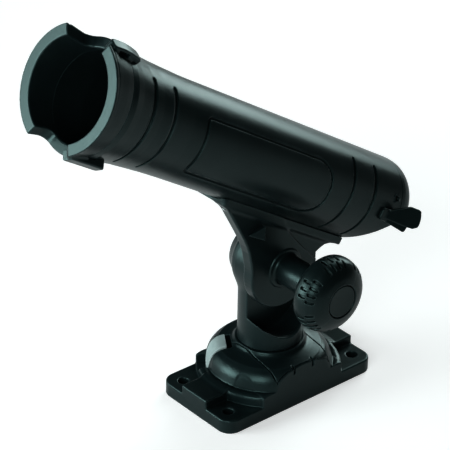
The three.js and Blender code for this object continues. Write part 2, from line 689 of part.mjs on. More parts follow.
// The cleat stands on the tube's near side and leans out towards its rear end.
function cordCleat() {
  const shape = new THREE.Shape();
  shape.moveTo(30, -TUBE_RADIUS + 2);
  shape.lineTo(32, -TUBE_RADIUS - 3.2);
  shape.lineTo(38, -TUBE_RADIUS - 4.6);
  shape.lineTo(48, -TUBE_RADIUS - 14);
  shape.lineTo(54, -TUBE_RADIUS - 12.5);
  shape.lineTo(54, -TUBE_RADIUS - 9);
  shape.lineTo(46, -TUBE_RADIUS + 2);
  const wing = raised(shape, -CLEAT_HALF, CLEAT_HALF);
  const outside = -2 * TUBE_RADIUS;
  const screwHole = rodAlongY(SCREW_SHANK + GAP, outside, 0, CLEAT_SCREW_X, 0, SCREW_ARC);
  const clear = rodAlongX(TUBE_RADIUS + GAP, 0, 2 * TUBE_REAR, 0, 0, ARC);
  return raiseToTube(cut(wing, screwHole, clear));
}

function cleatScrew() {
  const seat = GAP - BORE_RADIUS + CLEAT_HEAD_SINK;
  const tip = -TUBE_RADIUS - 4.4;
  return raiseToTube(join(
    rodAlongY(SCREW_SHANK, tip, seat + PAST / 2, CLEAT_SCREW_X, 0, SCREW_ARC),
    rodAlongY(SCREW_HEAD, seat, seat + SCREW_HEAD_HEIGHT, CLEAT_SCREW_X, 0, SCREW_ARC),
  ));
}

// ---- knob ----
function knobBody() {
  const shell = turnedAboutY(KNOB_PROFILE, KNOB_ARC);
  const seat = rodAlongY(CAP_RADIUS + GAP, KNOB_FACE - PAST, KNOB_FACE + CAP_DEPTH + GAP, 0, 0, ARC);
  const insert = rodAlongY(INSERT_RADIUS + GAP, KNOB_FACE, KNOB_BACK - INSERT_DEPTH);
  const bore = rodAlongY(BOLT_BORE, KNOB_FACE, KNOB_BACK + PAST);
  return cut(shell, seat, insert, bore);
}

function knobCap() {
  return rodAlongY(CAP_RADIUS, KNOB_FACE, KNOB_FACE + CAP_DEPTH, 0, 0, ARC);
}

function knobInsert() {
  const high = KNOB_BACK - INSERT_DEPTH - GAP;
  const low = high - INSERT_LENGTH;
  return cut(hexAlongY(INSERT_FLATS / 2, low, high), rodAlongY(BOLT_BORE, low - PAST, high + PAST));
}

function knobWasher() {
  const high = BOSS_END - GAP;
  return washer(KNOB_WASHER_RADIUS, high - KNOB_WASHER_THICKNESS, high);
}

// ---- assembly ----
const group = new THREE.Group();

function place(parent, name, body, look) {
  const mesh = new THREE.Mesh(geometryOf(body), look);
  mesh.name = name;
  parent.add(mesh);
  return mesh;
}

place(group, 'mounting_base', mountingBase(), BLACK_PLASTIC);
place(group, 'dome_saddle', domeSaddle(), BLACK_PLASTIC);

const latch = new THREE.Group();
latch.rotation.z = THREE.MathUtils.degToRad(BUTTON_TURN);
group.add(latch);
place(latch, 'release_button', releaseButton(), PALE_PLASTIC);
place(latch, 'latch_plate', latchPlate(), NYLON);
const returnSpring = place(latch, 'latch_spring', latchSpring(), STEEL);
returnSpring.rotation.y = Math.PI / 2;
returnSpring.position.set(LATCH_REAR + GAP + SPRING_WIRE, 0, LATCH_FLOOR + LATCH_THICKNESS / 2);

place(group, 'swivel_post', swivelPost(), BLACK_PLASTIC);
place(group, 'spigot_ring', spigotRing(), RUBBER);

const pivot = new THREE.Group();
pivot.position.z = PIVOT_HEIGHT;
group.add(pivot);
place(pivot, 'tilt_bolt', tiltBolt(), STEEL);
place(pivot, 'bolt_washer', boltWasher(), STEEL);
const spreader = place(pivot, 'clutch_spring', clutchSpring(), STEEL);
spreader.rotation.x = -Math.PI / 2;
spreader.position.y = CLUTCH_FRONT + GAP + CLUTCH_WIRE;
place(pivot, 'knob_body', knobBody(), DARK_PLASTIC);
place(pivot, 'knob_cap', knobCap(), DARK_PLASTIC);
place(pivot, 'knob_insert', knobInsert(), BRASS);
place(pivot, 'knob_washer', knobWasher(), STEEL);

const tilted = new THREE.Group();
tilted.rotation.y = THREE.MathUtils.degToRad(TILT);
pivot.add(tilted);
place(tilted, 'tilt_arm', tiltArm(), BLACK_PLASTIC);
place(tilted, 'rod_tube', rodTube(), BLACK_PLASTIC);
place(tilted, 'mouth_collar', mouthCollar(), BLACK_PLASTIC);
place(tilted, 'end_cap', endCap(), BLACK_PLASTIC);
place(tilted, 'cord_cleat', cordCleat(), DARK_PLASTIC);
place(tilted, 'arm_screw_front', armScrew(ARM_SCREW_X[0]), STEEL);
place(tilted, 'arm_screw_rear', armScrew(ARM_SCREW_X[1]), STEEL);
place(tilted, 'cleat_screw', cleatScrew(), STEEL);

export default group;
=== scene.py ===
import math

import bpy
import numpy as np
from mathutils import Matrix, Vector


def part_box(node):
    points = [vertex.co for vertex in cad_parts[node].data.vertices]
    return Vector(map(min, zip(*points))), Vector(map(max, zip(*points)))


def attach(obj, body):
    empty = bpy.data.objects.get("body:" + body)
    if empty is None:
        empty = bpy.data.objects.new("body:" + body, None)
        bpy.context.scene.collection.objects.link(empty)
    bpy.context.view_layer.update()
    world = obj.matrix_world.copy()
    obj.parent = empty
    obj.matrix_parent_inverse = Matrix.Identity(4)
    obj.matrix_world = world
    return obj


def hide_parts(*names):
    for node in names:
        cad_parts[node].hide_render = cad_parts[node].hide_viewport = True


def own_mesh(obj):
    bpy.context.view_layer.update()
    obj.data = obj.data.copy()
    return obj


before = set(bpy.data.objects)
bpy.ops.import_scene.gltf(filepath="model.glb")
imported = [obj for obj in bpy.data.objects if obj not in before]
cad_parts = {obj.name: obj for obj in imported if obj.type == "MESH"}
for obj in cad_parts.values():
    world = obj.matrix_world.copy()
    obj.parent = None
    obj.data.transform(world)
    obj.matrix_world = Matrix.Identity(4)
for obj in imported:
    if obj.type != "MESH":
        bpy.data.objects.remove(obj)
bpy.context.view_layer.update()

# Every shape below is in millimetres, and MM turns it into the frame's metres.
MM = 0.001
COARSE = 1.0


def box_mm(node):
    """A CAD node's lowest and highest corners, in millimetres."""
    low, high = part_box(node)
    return np.array(low) / MM, np.array(high) / MM


# ---- driving dimensions, from the frame where it holds them ----
BASE_HIGH = box_mm("mounting_base")[1]
POST_LOW, POST_HIGH = box_mm("swivel_post")
KNOB_LOW, KNOB_HIGH = box_mm("knob_body")
BOLT_LOW, BOLT_HIGH = box_mm("tilt_bolt")
PIVOT = np.array([0.0, 0.0, (KNOB_LOW[2] + KNOB_HIGH[2]) / 2])

GAP = 0.3
HALF_LENGTH = BASE_HIGH[0]
HALF_WIDTH = BASE_HIGH[1]
CORNER = 7.2
TAB_TOP = 7.5
DOME_RADIUS = 36.7
BLOCK_TOP = 12.1
BLOCK_END_HALF = 9.4
BLOCK_SIDE_HALF = 26.4
BLOCK_FILLET = 5.0
HOLE_X = 41.2
HOLE_Y = 17.5
HOLE_RADIUS = 2.65
SEAM = 0.03
DOME_TOP = BASE_HIGH[2]
STRIP_HALF = 17.0
STRIP_FLOOR = 15.0
STRIP_SKIN = 0.9
SEAM_HALF = 0.3
SEAM_DEPTH = 0.4
SLIT_INNER = 5.6
SLIT_OUTER = 6.6
SLIT_DEPTH = 2.4
SLIT_LOW = 19.4
SPIGOT_RADIUS = 10.0
SPIGOT_BOTTOM = POST_LOW[2]
BUTTON_TURN = math.radians(34)
BUTTON_HALF = 5.8
BUTTON_BACK = 22.0
BUTTON_LOW = 9.2
BUTTON_TOP = 25.2
RIB_HEIGHT = 0.14
LATCH_TRAVEL = 2.5
LATCH_LOW = 10.4
LATCH_TOP = 13.4
LATCH_HALF = 13.4
LATCH_REAR = 15.0
RETURN_HALF = 3.1
RETURN_LOW = 8.8
RETURN_END = 24.4

POST_RADIUS = 16.3
SCOOP_RADIUS = 18.0
SCOOP_HEIGHT = 51.8
WELL_HEIGHT = 47.6
WELL_RADIUS = 14.2
SPREADER_BORE = 6.6
EAR_RADIUS = POST_HIGH[2] - PIVOT[2]
EAR_FACE = -1.0
EAR_BACK = POST_HIGH[1]
TOOTH_HEIGHT = 1.0
TOOTH_COUNT = 24
TOOTH_INNER = 8.0
TOOTH_OUTER = 15.0

BOLT_RADIUS = 4.0
BOLT_BORE = 4.3
HEAD_FLATS = 13.0
HEAD_LOW = 10.0
HEAD_HIGH = BOLT_HIGH[1]

TILT = math.radians(32)
AXIS_OFFSET = 44.3
TUBE_RADIUS = 23.4
BORE_RADIUS = 20.5
TUBE_REAR = 46.0
TUBE_FRONT = -157.0
MOUTH = -170.2
MOUTH_LEAN = math.radians(5.9)
MOUTH_SKEW = math.radians(3.0)
NOTCH_HALF = math.radians(28)
NOTCH_LENGTH = 11.3
ARM_SCREWS = (-54, 14)
ARM_SCREW_Y = -6.6
ARM_SCREW_HOLE = 1.8
CLEAT_SCREW = 35
PLUG_LENGTH = 6
PLUG_BORE = 18.0
DRAIN_RADIUS = 5.0
SLANT_START = 51.5
SLANT_TOP = 6
SLANT_WALL = 3.0

ARM_FRONT = -10.0
ARM_BACK = -3.3
ARM_DISC = 21.3
BOSS_RADIUS = 7.8
BOSS_END = -31.6
HUB_RADIUS = 10.2

KNOB_RADIUS = KNOB_HIGH[0]
KNOB_BACK = KNOB_HIGH[1]
KNOB_FACE = KNOB_LOW[1]
CAP_RADIUS = 8.2
CAP_DEPTH = 2.6


# ---- signed distances: negative inside, in millimetres ----
def union(a, b, fillet=0.0):
    """Joins two solids. The corner between them is filled with a fillet of that radius."""
    if not fillet:
        return np.minimum(a, b)
    corner = np.hypot(np.maximum(fillet - a, 0), np.maximum(fillet - b, 0))
    return np.maximum(fillet, np.minimum(a, b)) - corner


def meet(a, b, edge=0.0):
    """What two solids share. The edge between them is rounded to that radius."""
    if not edge:
        return np.maximum(a, b)
    corner = np.hypot(np.maximum(edge + a, 0), np.maximum(edge + b, 0))
    return np.minimum(-edge, np.maximum(a, b)) + corner


def cut(a, b, edge=0.0):
    return meet(a, -b, edge)


def between(v, low, high):
    return np.abs(v - (low + high) / 2) - (high - low) / 2


def rectangle(u, v, half_u, half_v, corner=0.0):
    du = np.abs(u) - half_u + corner
    dv = np.abs(v) - half_v + corner
    outside = np.hypot(np.maximum(du, 0), np.maximum(dv, 0))
    return outside + np.minimum(np.maximum(du, dv), 0) - corner


def block(x, y, z, low, high, edge=0.0):
    flat = rectangle(
        x - (low[0] + high[0]) / 2,
        y - (low[1] + high[1]) / 2,
        (high[0] - low[0]) / 2,
        (high[1] - low[1]) / 2,
        edge,
    )
    return meet(flat, between(z, low[2], high[2]), edge)


def disc(u, v, along, radius, low, high, edge=0.0):
    return meet(np.hypot(u, v) - radius, between(along, low, high), edge)


def polygon(u, v, points):
    """Distance to a closed outline of straight stretches."""
    nearest = np.full(u.shape, 1e9)
    side = np.ones(u.shape)
    for (ax, ay), (bx, by) in zip(points, points[1:] + points[:1]):
        ex, ey = bx - ax, by - ay
        wx, wy = u - ax, v - ay
        share = np.clip((wx * ex + wy * ey) / (ex * ex + ey * ey), 0, 1)
        nearest = np.minimum(nearest, (wx - ex * share) ** 2 + (wy - ey * share) ** 2)
        above, below, left = v >= ay, v < by, ex * wy > ey * wx
        side = np.where((above & below & left) | ~(above | below | left), -side, side)
    return side * np.sqrt(nearest)


def smooth_line(points, steps=5):
    """Points along a smooth curve through the given ones."""
    p = [np.array(q, float) for q in points]
    p = [2 * p[0] - p[1]] + p + [2 * p[-1] - p[-2]]
    line = []
    for a, b, c, d in zip(p, p[1:], p[2:], p[3:]):
        for i in range(steps):
            t = i / steps
            bend = 2 * b + (c - a) * t + (2 * a - 5 * b + 4 * c - d) * t * t
            line.append(tuple((bend + (3 * b - a - 3 * c + d) * t**3) / 2))
    return line + [tuple(p[-2])]


def bezier(a, b, c, d, steps=8):
    a, b, c, d = (np.array(q, float) for q in (a, b, c, d))
    line = []
    for i in range(1, steps + 1):
        t = i / steps
        s = 1 - t
        line.append(tuple(a * s**3 + 3 * b * s * s * t + 3 * c * s * t * t + d * t**3))
    return line


def arc(radius, start, end, steps=16):
    turns = np.linspace(start, end, steps)
    return [(radius * math.cos(t), radius * math.sin(t)) for t in turns]


# ---- surfaces: a closed quad mesh where a distance is zero ----
def steps_between(low, high, step, fine=()):
    """Lattice lines from low to high, closer together in each fine stretch (start, end, step)."""
    lines = [low]
    while lines[-1] < high:
        here = min([step] + [f for a, b, f in fine if a <= lines[-1] <= b])
        lines.append(lines[-1] + here * COARSE)
    return np.array(lines)


def straight(u, v, w):
    return u, v, w


def round_x(u, v, w):
    """Lattice (length, turn from the top towards -Y, radius) about the X axis."""
    return u, -w * np.sin(v), w * np.cos(v)


def round_y(u, v, w):
    return -w * np.sin(v), u, w * np.cos(v)


def surface_net(field, axes, place, closed):
    """Vertices and quads of the zero level on a lattice. closed joins the second axis to itself."""
    points = np.stack(place(*np.meshgrid(*axes, indexing="ij")), -1)
    values = field(points[..., 0], points[..., 1], points[..., 2])
    for axis in range(3):
        if closed and axis == 1:
            continue
        for end in (0, -1):
            if np.take(values, end, axis).min() < 0:
                raise ValueError(f"the solid leaves its lattice on axis {axis}, end {end}")
    if closed:
        points = np.concatenate([points, points[:, :1]], 1)
        values = np.concatenate([values, values[:, :1]], 1)
    cells = np.array(values.shape) - 1
    owners, places, quads = [], [], []
    for axis in range(3):
        low = [slice(None)] * 3
        high = [slice(None)] * 3
        low[axis], high[axis] = slice(0, -1), slice(1, None)
        if closed and axis != 1:
            low[1] = high[1] = slice(0, -1)
        a, b = values[tuple(low)], values[tuple(high)]
        edges = np.argwhere((a < 0) != (b < 0))
        at = tuple(edges.T)
        share = (a[at] / (a[at] - b[at]))[:, None]
        crossing = points[tuple(low)][at] * (1 - share) + points[tuple(high)][at] * share
        first, second = [i for i in range(3) if i != axis]
        corners = []
        for back_first, back_second in ((0, 0), (1, 0), (1, 1), (0, 1)):
            cell = edges.copy()
            cell[:, first] -= back_first
            cell[:, second] -= back_second
            if closed:
                cell[:, 1] %= cells[1]
            corners.append(np.ravel_multi_index(tuple(cell.T), tuple(cells)))
            owners.append(corners[-1])
            places.append(crossing)
        quad = np.stack(corners, 1)
        outward = (a[at] < 0) != (axis == 1)
        quad[~outward] = quad[~outward][:, ::-1]
        quads.append(quad)
    used, index = np.unique(np.concatenate(owners), return_inverse=True)
    counts = np.bincount(index)
    spots = np.concatenate(places)
    vertices = np.stack([np.bincount(index, spots[:, i]) / counts for i in range(3)], 1)
    return vertices, np.searchsorted(used, np.concatenate(quads))


def slope(field, p, h=0.02):
    value = field(*p.T)
    rise = [field(*(p + step).T) - field(*(p - step).T) for step in np.eye(3) * h]
    return value, np.stack(rise, 1) / (2 * h)


def settle(field, vertices, reach, rounds=3):
    """Moves vertices onto the zero level, each by no more than reach."""
    p = vertices.copy()
    for _ in range(rounds):
        value, grade = slope(field, p)
        move = -value[:, None] * grade / np.maximum((grade**2).sum(1), 0.05)[:, None]
        length = np.linalg.norm(move, axis=1)[:, None]
        p += move * np.minimum(1, reach / np.maximum(length, 1e-9))
    return p


def relax(vertices, quads, share=0.5):
    """Evens out the spacing of the vertices along the surface."""
    total = np.zeros_like(vertices)
    count = np.zeros(len(vertices))
    for a, b in ((0, 1), (1, 2), (2, 3), (3, 0)):
        for i, j in ((a, b), (b, a)):
            for k in range(3):
                total[:, k] += np.bincount(quads[:, i], vertices[quads[:, j], k], len(vertices))
            count += np.bincount(quads[:, i], minlength=len(vertices))
    return vertices * (1 - share) + total / count[:, None] * share


def shape(name, field, axes, place=straight, closed=False, frame_of=None, reach=0.4):
    """A closed, smoothly shaded mesh object for the solid that field describes."""
    vertices, quads = surface_net(field, axes, place, closed)
    vertices = settle(field, vertices, reach)
    vertices = settle(field, relax(vertices, quads), reach)
    normals = slope(field, vertices)[1]
    normals /= np.maximum(np.linalg.norm(normals, axis=1), 1e-9)[:, None]
    a, b, c = (vertices[quads[:, i]] for i in (0, 1, 2))
    facing = (np.cross(b - a, c - a) * normals[quads[:, 0]]).sum()
    if facing < 0:
        quads = quads[:, ::-1]
    if frame_of is not None:
        vertices, normals = frame_of(vertices, normals)
    mesh = bpy.data.meshes.new(name)
    mesh.from_pydata((vertices * MM).tolist(), [], quads.tolist())
    mesh.polygons.foreach_set("use_smooth", [True] * len(quads))
    mesh.normals_split_custom_set_from_vertices(normals.tolist())
    piece = bpy.data.objects.new(name, mesh)
    bpy.context.scene.collection.objects.link(piece)
    return piece


# ---- the tilted frame: +X towards the tube's rear, +Z from the pivot to the tube ----
REARWARD = np.array([math.cos(TILT), 0, -math.sin(TILT)])
SIDEWAYS = np.array([0, 1.0, 0])
TUBEWARD = np.array([math.sin(TILT), 0, math.cos(TILT)])
TILTED = np.stack([REARWARD, SIDEWAYS, TUBEWARD])


def on_arm(vertices, normals):
    return vertices @ TILTED + PIVOT, normals @ TILTED


def on_tube(vertices, normals):
    raised = vertices + np.array([0, 0, AXIS_OFFSET])
    return raised @ TILTED + PIVOT, normals @ TILTED


def on_pivot(vertices, normals):
    return vertices + PIVOT, normals


# ---- base ----
DOME = (
    [(0, 0), (DOME_RADIUS, 0)]
    + smooth_line([(DOME_RADIUS, 11.6), (36.2, 12.6), (34.8, 13.2), (33.4, 13.2), (32.4, 13.0)], 3)
    + smooth_line([(32.0, 13.4), (31.7, 15.0), (30.6, 18.4), (28.6, 21.2), (26, 23.1)], 4)
    + smooth_line([(22, 24), (19.2, 24.9), (17.9, 26.2), (17.4, DOME_TOP)], 4)
    + [(0, DOME_TOP)]
)


def dome(x, y, z):
    return polygon(np.hypot(x, y), z, DOME)


def button_frame(x, y):
    """Coordinates in which the release button faces -X."""
    c, s = math.cos(BUTTON_TURN), math.sin(BUTTON_TURN)
    return x * c - y * s, x * s + y * c


def button_space(x, y, z, grow):
    u, v = button_frame(x, y)
    low = (-DOME_RADIUS, -BUTTON_HALF - grow, BUTTON_LOW - grow)
    high = (-BUTTON_BACK + grow + LATCH_TRAVEL, BUTTON_HALF + grow, BUTTON_TOP + grow)
    return block(u, v, z, low, high)


def latch_space(x, y, z):
    u, v = button_frame(x, y)
    plate_low = (-BUTTON_BACK - 1, -LATCH_HALF - GAP, LATCH_LOW - GAP)
    plate_high = (LATCH_REAR + LATCH_TRAVEL + GAP, LATCH_HALF + GAP, STRIP_FLOOR)
    spring_low = (LATCH_REAR, -RETURN_HALF, RETURN_LOW)
    return union(
        block(u, v, z, plate_low, plate_high),
        block(u, v, z, spring_low, (RETURN_END, RETURN_HALF, STRIP_FLOOR)),
    )


def base_field(x, y, z):
    walls = union(np.abs(y) - BLOCK_END_HALF, np.abs(x) - BLOCK_SIDE_HALF, BLOCK_FILLET)
    raised = meet(walls, z - BLOCK_TOP, 0.7)
    skirt = meet(walls, union(z - BLOCK_TOP, dome(x, y, z), 2.6), 0.7)
    top = union(union(z - TAB_TOP, np.minimum(raised, skirt), 0.6), dome(x, y, z), 0.5)
    outline = rectangle(x, y, HALF_LENGTH, HALF_WIDTH, CORNER)
    body = meet(meet(outline, top, 0.9), -z, 0.4)
    around = np.hypot(np.abs(x) - HOLE_X, np.abs(y) - HOLE_Y)
    body = cut(body, around - HOLE_RADIUS, 0.7)
    strip = meet(np.abs(x) - STRIP_HALF - SEAM, STRIP_FLOOR - SEAM - z)
    strip = meet(strip, np.abs(y) - HALF_WIDTH + STRIP_SKIN - SEAM)
    body = cut(body, strip, 0.06)
    seam = meet(np.abs(np.abs(x) - STRIP_HALF) - SEAM_HALF, np.abs(y) - HALF_WIDTH + 1.6)
    body = cut(body, meet(seam, -dome(x, y, z) - SEAM_DEPTH), 0.15)
    body = cut(body, strip_slits(x, y, z), 0.15)
    socket = meet(np.hypot(x, y) - SPIGOT_RADIUS - GAP, SPIGOT_BOTTOM - GAP - z)
    body = cut(body, socket, 0.3)
    pockets = np.minimum(button_space(x, y, z, GAP), latch_space(x, y, z))
    return cut(body, pockets, 0.3)


def strip_slits(x, y, z):
    """Two short slits in the top edge of the dome strip's near end."""
    across = between(np.abs(x), SLIT_INNER, SLIT_OUTER)
    return meet(meet(across, y + HALF_WIDTH - SLIT_DEPTH), SLIT_LOW - z)


def saddle_field(x, y, z):
    flank = meet(np.abs(y) - HALF_WIDTH + STRIP_SKIN, dome(x, y, z), 0.1)
    body = meet(meet(flank, np.abs(x) - STRIP_HALF, 0.12), STRIP_FLOOR - z, 0.06)
    body = cut(body, np.hypot(x, y) - SPIGOT_RADIUS - GAP, 0.4)
    body = cut(body, button_space(x, y, z, GAP - 0.1), 0.3)
    return cut(body, strip_slits(x, y, z), 0.15)


BUTTON_CURVE = (
    [(0, 5), (31.3, 5), (31.5, 9)]
    + smooth_line(
        [
            (31.7, 11),
            (31.6, 14.4),
            (30.9, 18),
            (29.4, 21),
            (27.2, 23.3),
            (24.6, 24.6),
            (21, BUTTON_TOP),
        ],
        4,
    )
    + [(0, BUTTON_TOP)]
)


def button_field(x, y, z):
    u, v = button_frame(x, y)
    low = (-DOME_RADIUS, -BUTTON_HALF, BUTTON_LOW)
    body = block(u, v, z, low, (-BUTTON_BACK, BUTTON_HALF, 27), 0.5)
    ribs = RIB_HEIGHT * np.cos(v * 2 * math.pi) * np.clip(BUTTON_HALF - 0.7 - np.abs(v), 0, 1)
    ribs = ribs * np.clip((-u - 25) / 2, 0, 1)
    face = polygon(np.hypot(x, y), z, BUTTON_CURVE)
    return meet(body, face * 0.8 + ribs, 0.5)


# ---- post ----
def ear_field(x, y, z):
    """About the pivot: z is measured from it."""
    around = np.hypot(x, z)
    back = smooth_line([(18.2, 6.5), (17.7, 9.3), (16.2, 11.6), (13.6, EAR_BACK)], 4)
    outline = [(0, EAR_FACE), (EAR_RADIUS, EAR_FACE), (EAR_RADIUS, 4)] + back + [(0, EAR_BACK)]
    body = polygon(around, y, outline)
    turn = np.arctan2(x, z) * TOOTH_COUNT / (2 * math.pi)
    wave = np.abs(turn - np.floor(turn) - 0.5) * 2
    teeth = meet(between(around, TOOTH_INNER, TOOTH_OUTER), EAR_FACE - TOOTH_HEIGHT * wave - y, 0.1)
    return np.minimum(body, meet(teeth, y - EAR_FACE - 1) * 0.8)


def post_field(x, y, z):
    around = np.hypot(x, y)
    column = disc(x, y, z, POST_RADIUS, DOME_TOP + GAP, PIVOT[2], 0.5)
    scoop = np.minimum(
        np.hypot(x, z - SCOOP_HEIGHT) - SCOOP_RADIUS,
        meet(np.abs(x) - SCOOP_RADIUS, SCOOP_HEIGHT - z),
    )
    column = cut(column, meet(scoop, y - EAR_FACE), 0.6)
    spigot = disc(x, y, z, SPIGOT_RADIUS, SPIGOT_BOTTOM, DOME_TOP + 2, 0.4)
    for low, high, depth in ((5.4, 8.0, 2.6), (LATCH_LOW - GAP, LATCH_TOP + GAP, 2.0)):
        ring = meet(between(z, low, high), SPIGOT_RADIUS - depth - around)
        spigot = cut(spigot, ring, 0.15)
    body = union(column, ear_field(x, y, z - PIVOT[2]), 3.0)
    body = union(body, spigot)
    well = disc(x, z - WELL_HEIGHT, y, WELL_RADIUS, 3.0 - POST_RADIUS, EAR_FACE - 2, 1.0)
    body = cut(body, well, 0.6)
    bore = np.hypot(x, z - PIVOT[2])
    body = cut(body, bore - BOLT_BORE, 0.3)
    body = cut(body, meet(bore - SPREADER_BORE, y - 3.5), 0.3)
    head = meet(hexagon(z - PIVOT[2], x, HEAD_FLATS / 2 + GAP), HEAD_LOW - 1.8 - y)
    return cut(body, head, 0.4)


def hexagon(u, v, half_flats):
    """Six sides, with two corners on the u axis."""
    a, b = np.abs(u), np.abs(v)
    return np.maximum(b, a * math.sin(math.pi / 3) + b * 0.5) - half_flats


# ---- arm, in the tilted frame ----
ARM_OUTLINE = (
    [(-66, 26)]
    + bezier((-66, 26), (-54, 15), (-33, 8), (-25, -2), 10)
    + bezier((-25, -2), (-23, -4), (-20.8, -6.4), (-19.6, -8.4), 4)
    + arc(ARM_DISC, math.pi + 0.405, 2 * math.pi + 0.61, 36)
    + bezier((17.46, 12.2), (20, 17), (25, 21), (34, 25), 6)
    + [(34, 32), (-66, 32)]
)
ARM_STEP = [(-40, 40), (-15, 20), (0, 14.4), (16, 9.7), (22, 8.7), (40, 14), (40, 40)]


def arm_field(x, y, z):
    plate = meet(polygon(x, z, ARM_OUTLINE), between(y, ARM_FRONT, ARM_BACK), 0.9)
    step = meet(polygon(x, z, ARM_STEP), y - ARM_FRONT - 0.7, 0.2)
    plate = cut(plate, step, 0.4)
    rising = ARM_FRONT - 0.2 - 0.5 * (x + 36) - y
    gusset = meet(polygon(x, z, [(-35, 9.5), (-27, 10.5), (-29.5, 17)]), rising * 0.8, 0.3)
    plate = np.minimum(plate, meet(gusset, y + 6))
    saddle = block(x, y, z, (-60, -11, 19.2), (30, 11, 34), 1.0)
    body = union(plate, saddle, 2.5)
    hub = disc(x, z, y, HUB_RADIUS, ARM_FRONT - 0.8, ARM_BACK, 0.5)
    boss = disc(x, z, y, BOSS_RADIUS, BOSS_END, ARM_BACK, 0.5)
    body = union(union(body, hub, 0.6), boss, 1.6)
    turn = np.arctan2(x, z) * TOOTH_COUNT / (2 * math.pi)
    wave = np.abs(turn - np.floor(turn) - 0.5) * 2
    around = np.hypot(x, z)
    teeth = meet(between(around, TOOTH_INNER, TOOTH_OUTER), y - ARM_BACK - TOOTH_HEIGHT * wave, 0.1)
    body = np.minimum(body, meet(teeth, ARM_BACK - 1 - y) * 0.8)
    body = cut(body, np.hypot(y, z - AXIS_OFFSET) - TUBE_RADIUS - 0.1, 0.4)
    body = cut(body, around - BOLT_BORE, 0.3)
    body = cut(body, meet(around - SPREADER_BORE, ARM_BACK - 2.2 - y), 0.3)
    for screw in ARM_SCREWS:
        hole = meet(np.hypot(x - screw, y - ARM_SCREW_Y) - ARM_SCREW_HOLE, 18.1 - z)
        body = cut(body, hole)
    return body


# ---- tube, about its own axis ----
GROOVES = (-140.6, -126.0, 6.3, 23.7)
GROOVE_START = math.radians(40)
GROOVE_END = math.radians(146)
PANEL_TOP = math.radians(57)
PANEL_LOW = math.radians(128)
PANEL_LEFT = -103.0
PANEL_RIGHT = -10.0
LINE_HALF = 0.65
# Each cord lug: turn from the top, middle along the tube, half length, crest radius, how the crest
# falls off, and whether it has a slot.
LUGS = (
    (0.46, -160.6, 9.2, 31.0, 0.012, True),
    (2.682, -157.6, 12.4, 29.8, 0.0, False),
)

TUBE_WALL = [
    (BORE_RADIUS, TUBE_REAR),
    (TUBE_RADIUS, TUBE_REAR),
    (TUBE_RADIUS, -104),
    (23.5, -112),
    (23.9, -123),
    (24.4, -134),
    (25.1, -142),
    (26.1, -149),
    (27, -154),
    (27, TUBE_FRONT),
    (21.7, TUBE_FRONT),
    (BORE_RADIUS, -140),
]


def groove_depth(x, turn, radius):
    """How near a point is to the four ring grooves on one side, less their half width."""
    nearest = np.full(x.shape, 9.0)
    middle, half = (GROOVE_START + GROOVE_END) / 2, (GROOVE_END - GROOVE_START) / 2
    along = (turn - GROOVE_START) / (GROOVE_END - GROOVE_START)
    width = 1.15 - 0.55 * np.clip(along, 0, 1)
    for place in GROOVES:
        ends = np.maximum(np.abs(turn - middle) - half, 0) * radius
        nearest = np.minimum(nearest, np.hypot(x - place, ends) - width)
    return nearest


def panel_line(x, turn):
    """Distance from the engraved outline of the panel on the tube's side."""
    v = turn * TUBE_RADIUS
    top, low = PANEL_TOP * TUBE_RADIUS, PANEL_LOW * TUBE_RADIUS
    middle, half = (top + low) / 2, (low - top) / 2
    centre = (PANEL_LEFT + PANEL_RIGHT) / 2
    round_end = rectangle(x - centre, v - middle, (PANEL_RIGHT - PANEL_LEFT) / 2, half, half * 0.8)
    square_end = rectangle(x - centre, v - middle, (PANEL_RIGHT - PANEL_LEFT) / 2, half, 2.0)
    return np.where(x > centre, round_end, square_end)


def tube_outside(x):
    """The tube's outer radius, which flares towards the mouth."""
    wall = TUBE_WALL[2:10]
    return np.interp(-x, [-place for _, place in wall], [size for size, _ in wall])


def tube_field(x, y, z):
    radius = np.hypot(y, z)
    body = meet(polygon(radius, x, TUBE_WALL), slant(x, z), 0.8)
    turn = np.abs(np.arctan2(y, z))
    near = np.arctan2(-y, z)
    lines = np.minimum(groove_depth(x, turn, radius), np.abs(panel_line(x, turn)) - LINE_HALF)
    body = cut(body, meet(lines, tube_outside(x) - 0.9 - radius, 0.2), 0.3)
    for screw in ARM_SCREWS:
        around = np.hypot(x - screw, y - ARM_SCREW_Y)
        body = cut(body, meet(around - ARM_SCREW_HOLE, z))
        body = cut(body, meet(meet(around - 3.5, -20.6 - z), z), 0.2)
    pip = np.hypot(x - 41.7, (near - math.radians(70)) * TUBE_RADIUS)
    body = union(body, meet(pip - 2.2, between(radius, 22, TUBE_RADIUS + 0.5), 0.4), 0.4)
    body = cut(body, meet(pip - 1.1, TUBE_RADIUS - 0.6 - radius), 0.3)
    screw_hole = meet(np.hypot(x - CLEAT_SCREW, z) - ARM_SCREW_HOLE, y)
    return cut(body, screw_hole)


COLLAR = (
    [(21.7, TUBE_FRONT - SEAM), (27, TUBE_FRONT - SEAM), (27.8, -161), (28.6, -165.5), (29.5, -170)]
    + [(29.8, -176), (24.2, -176), (24.2, -173)]
)


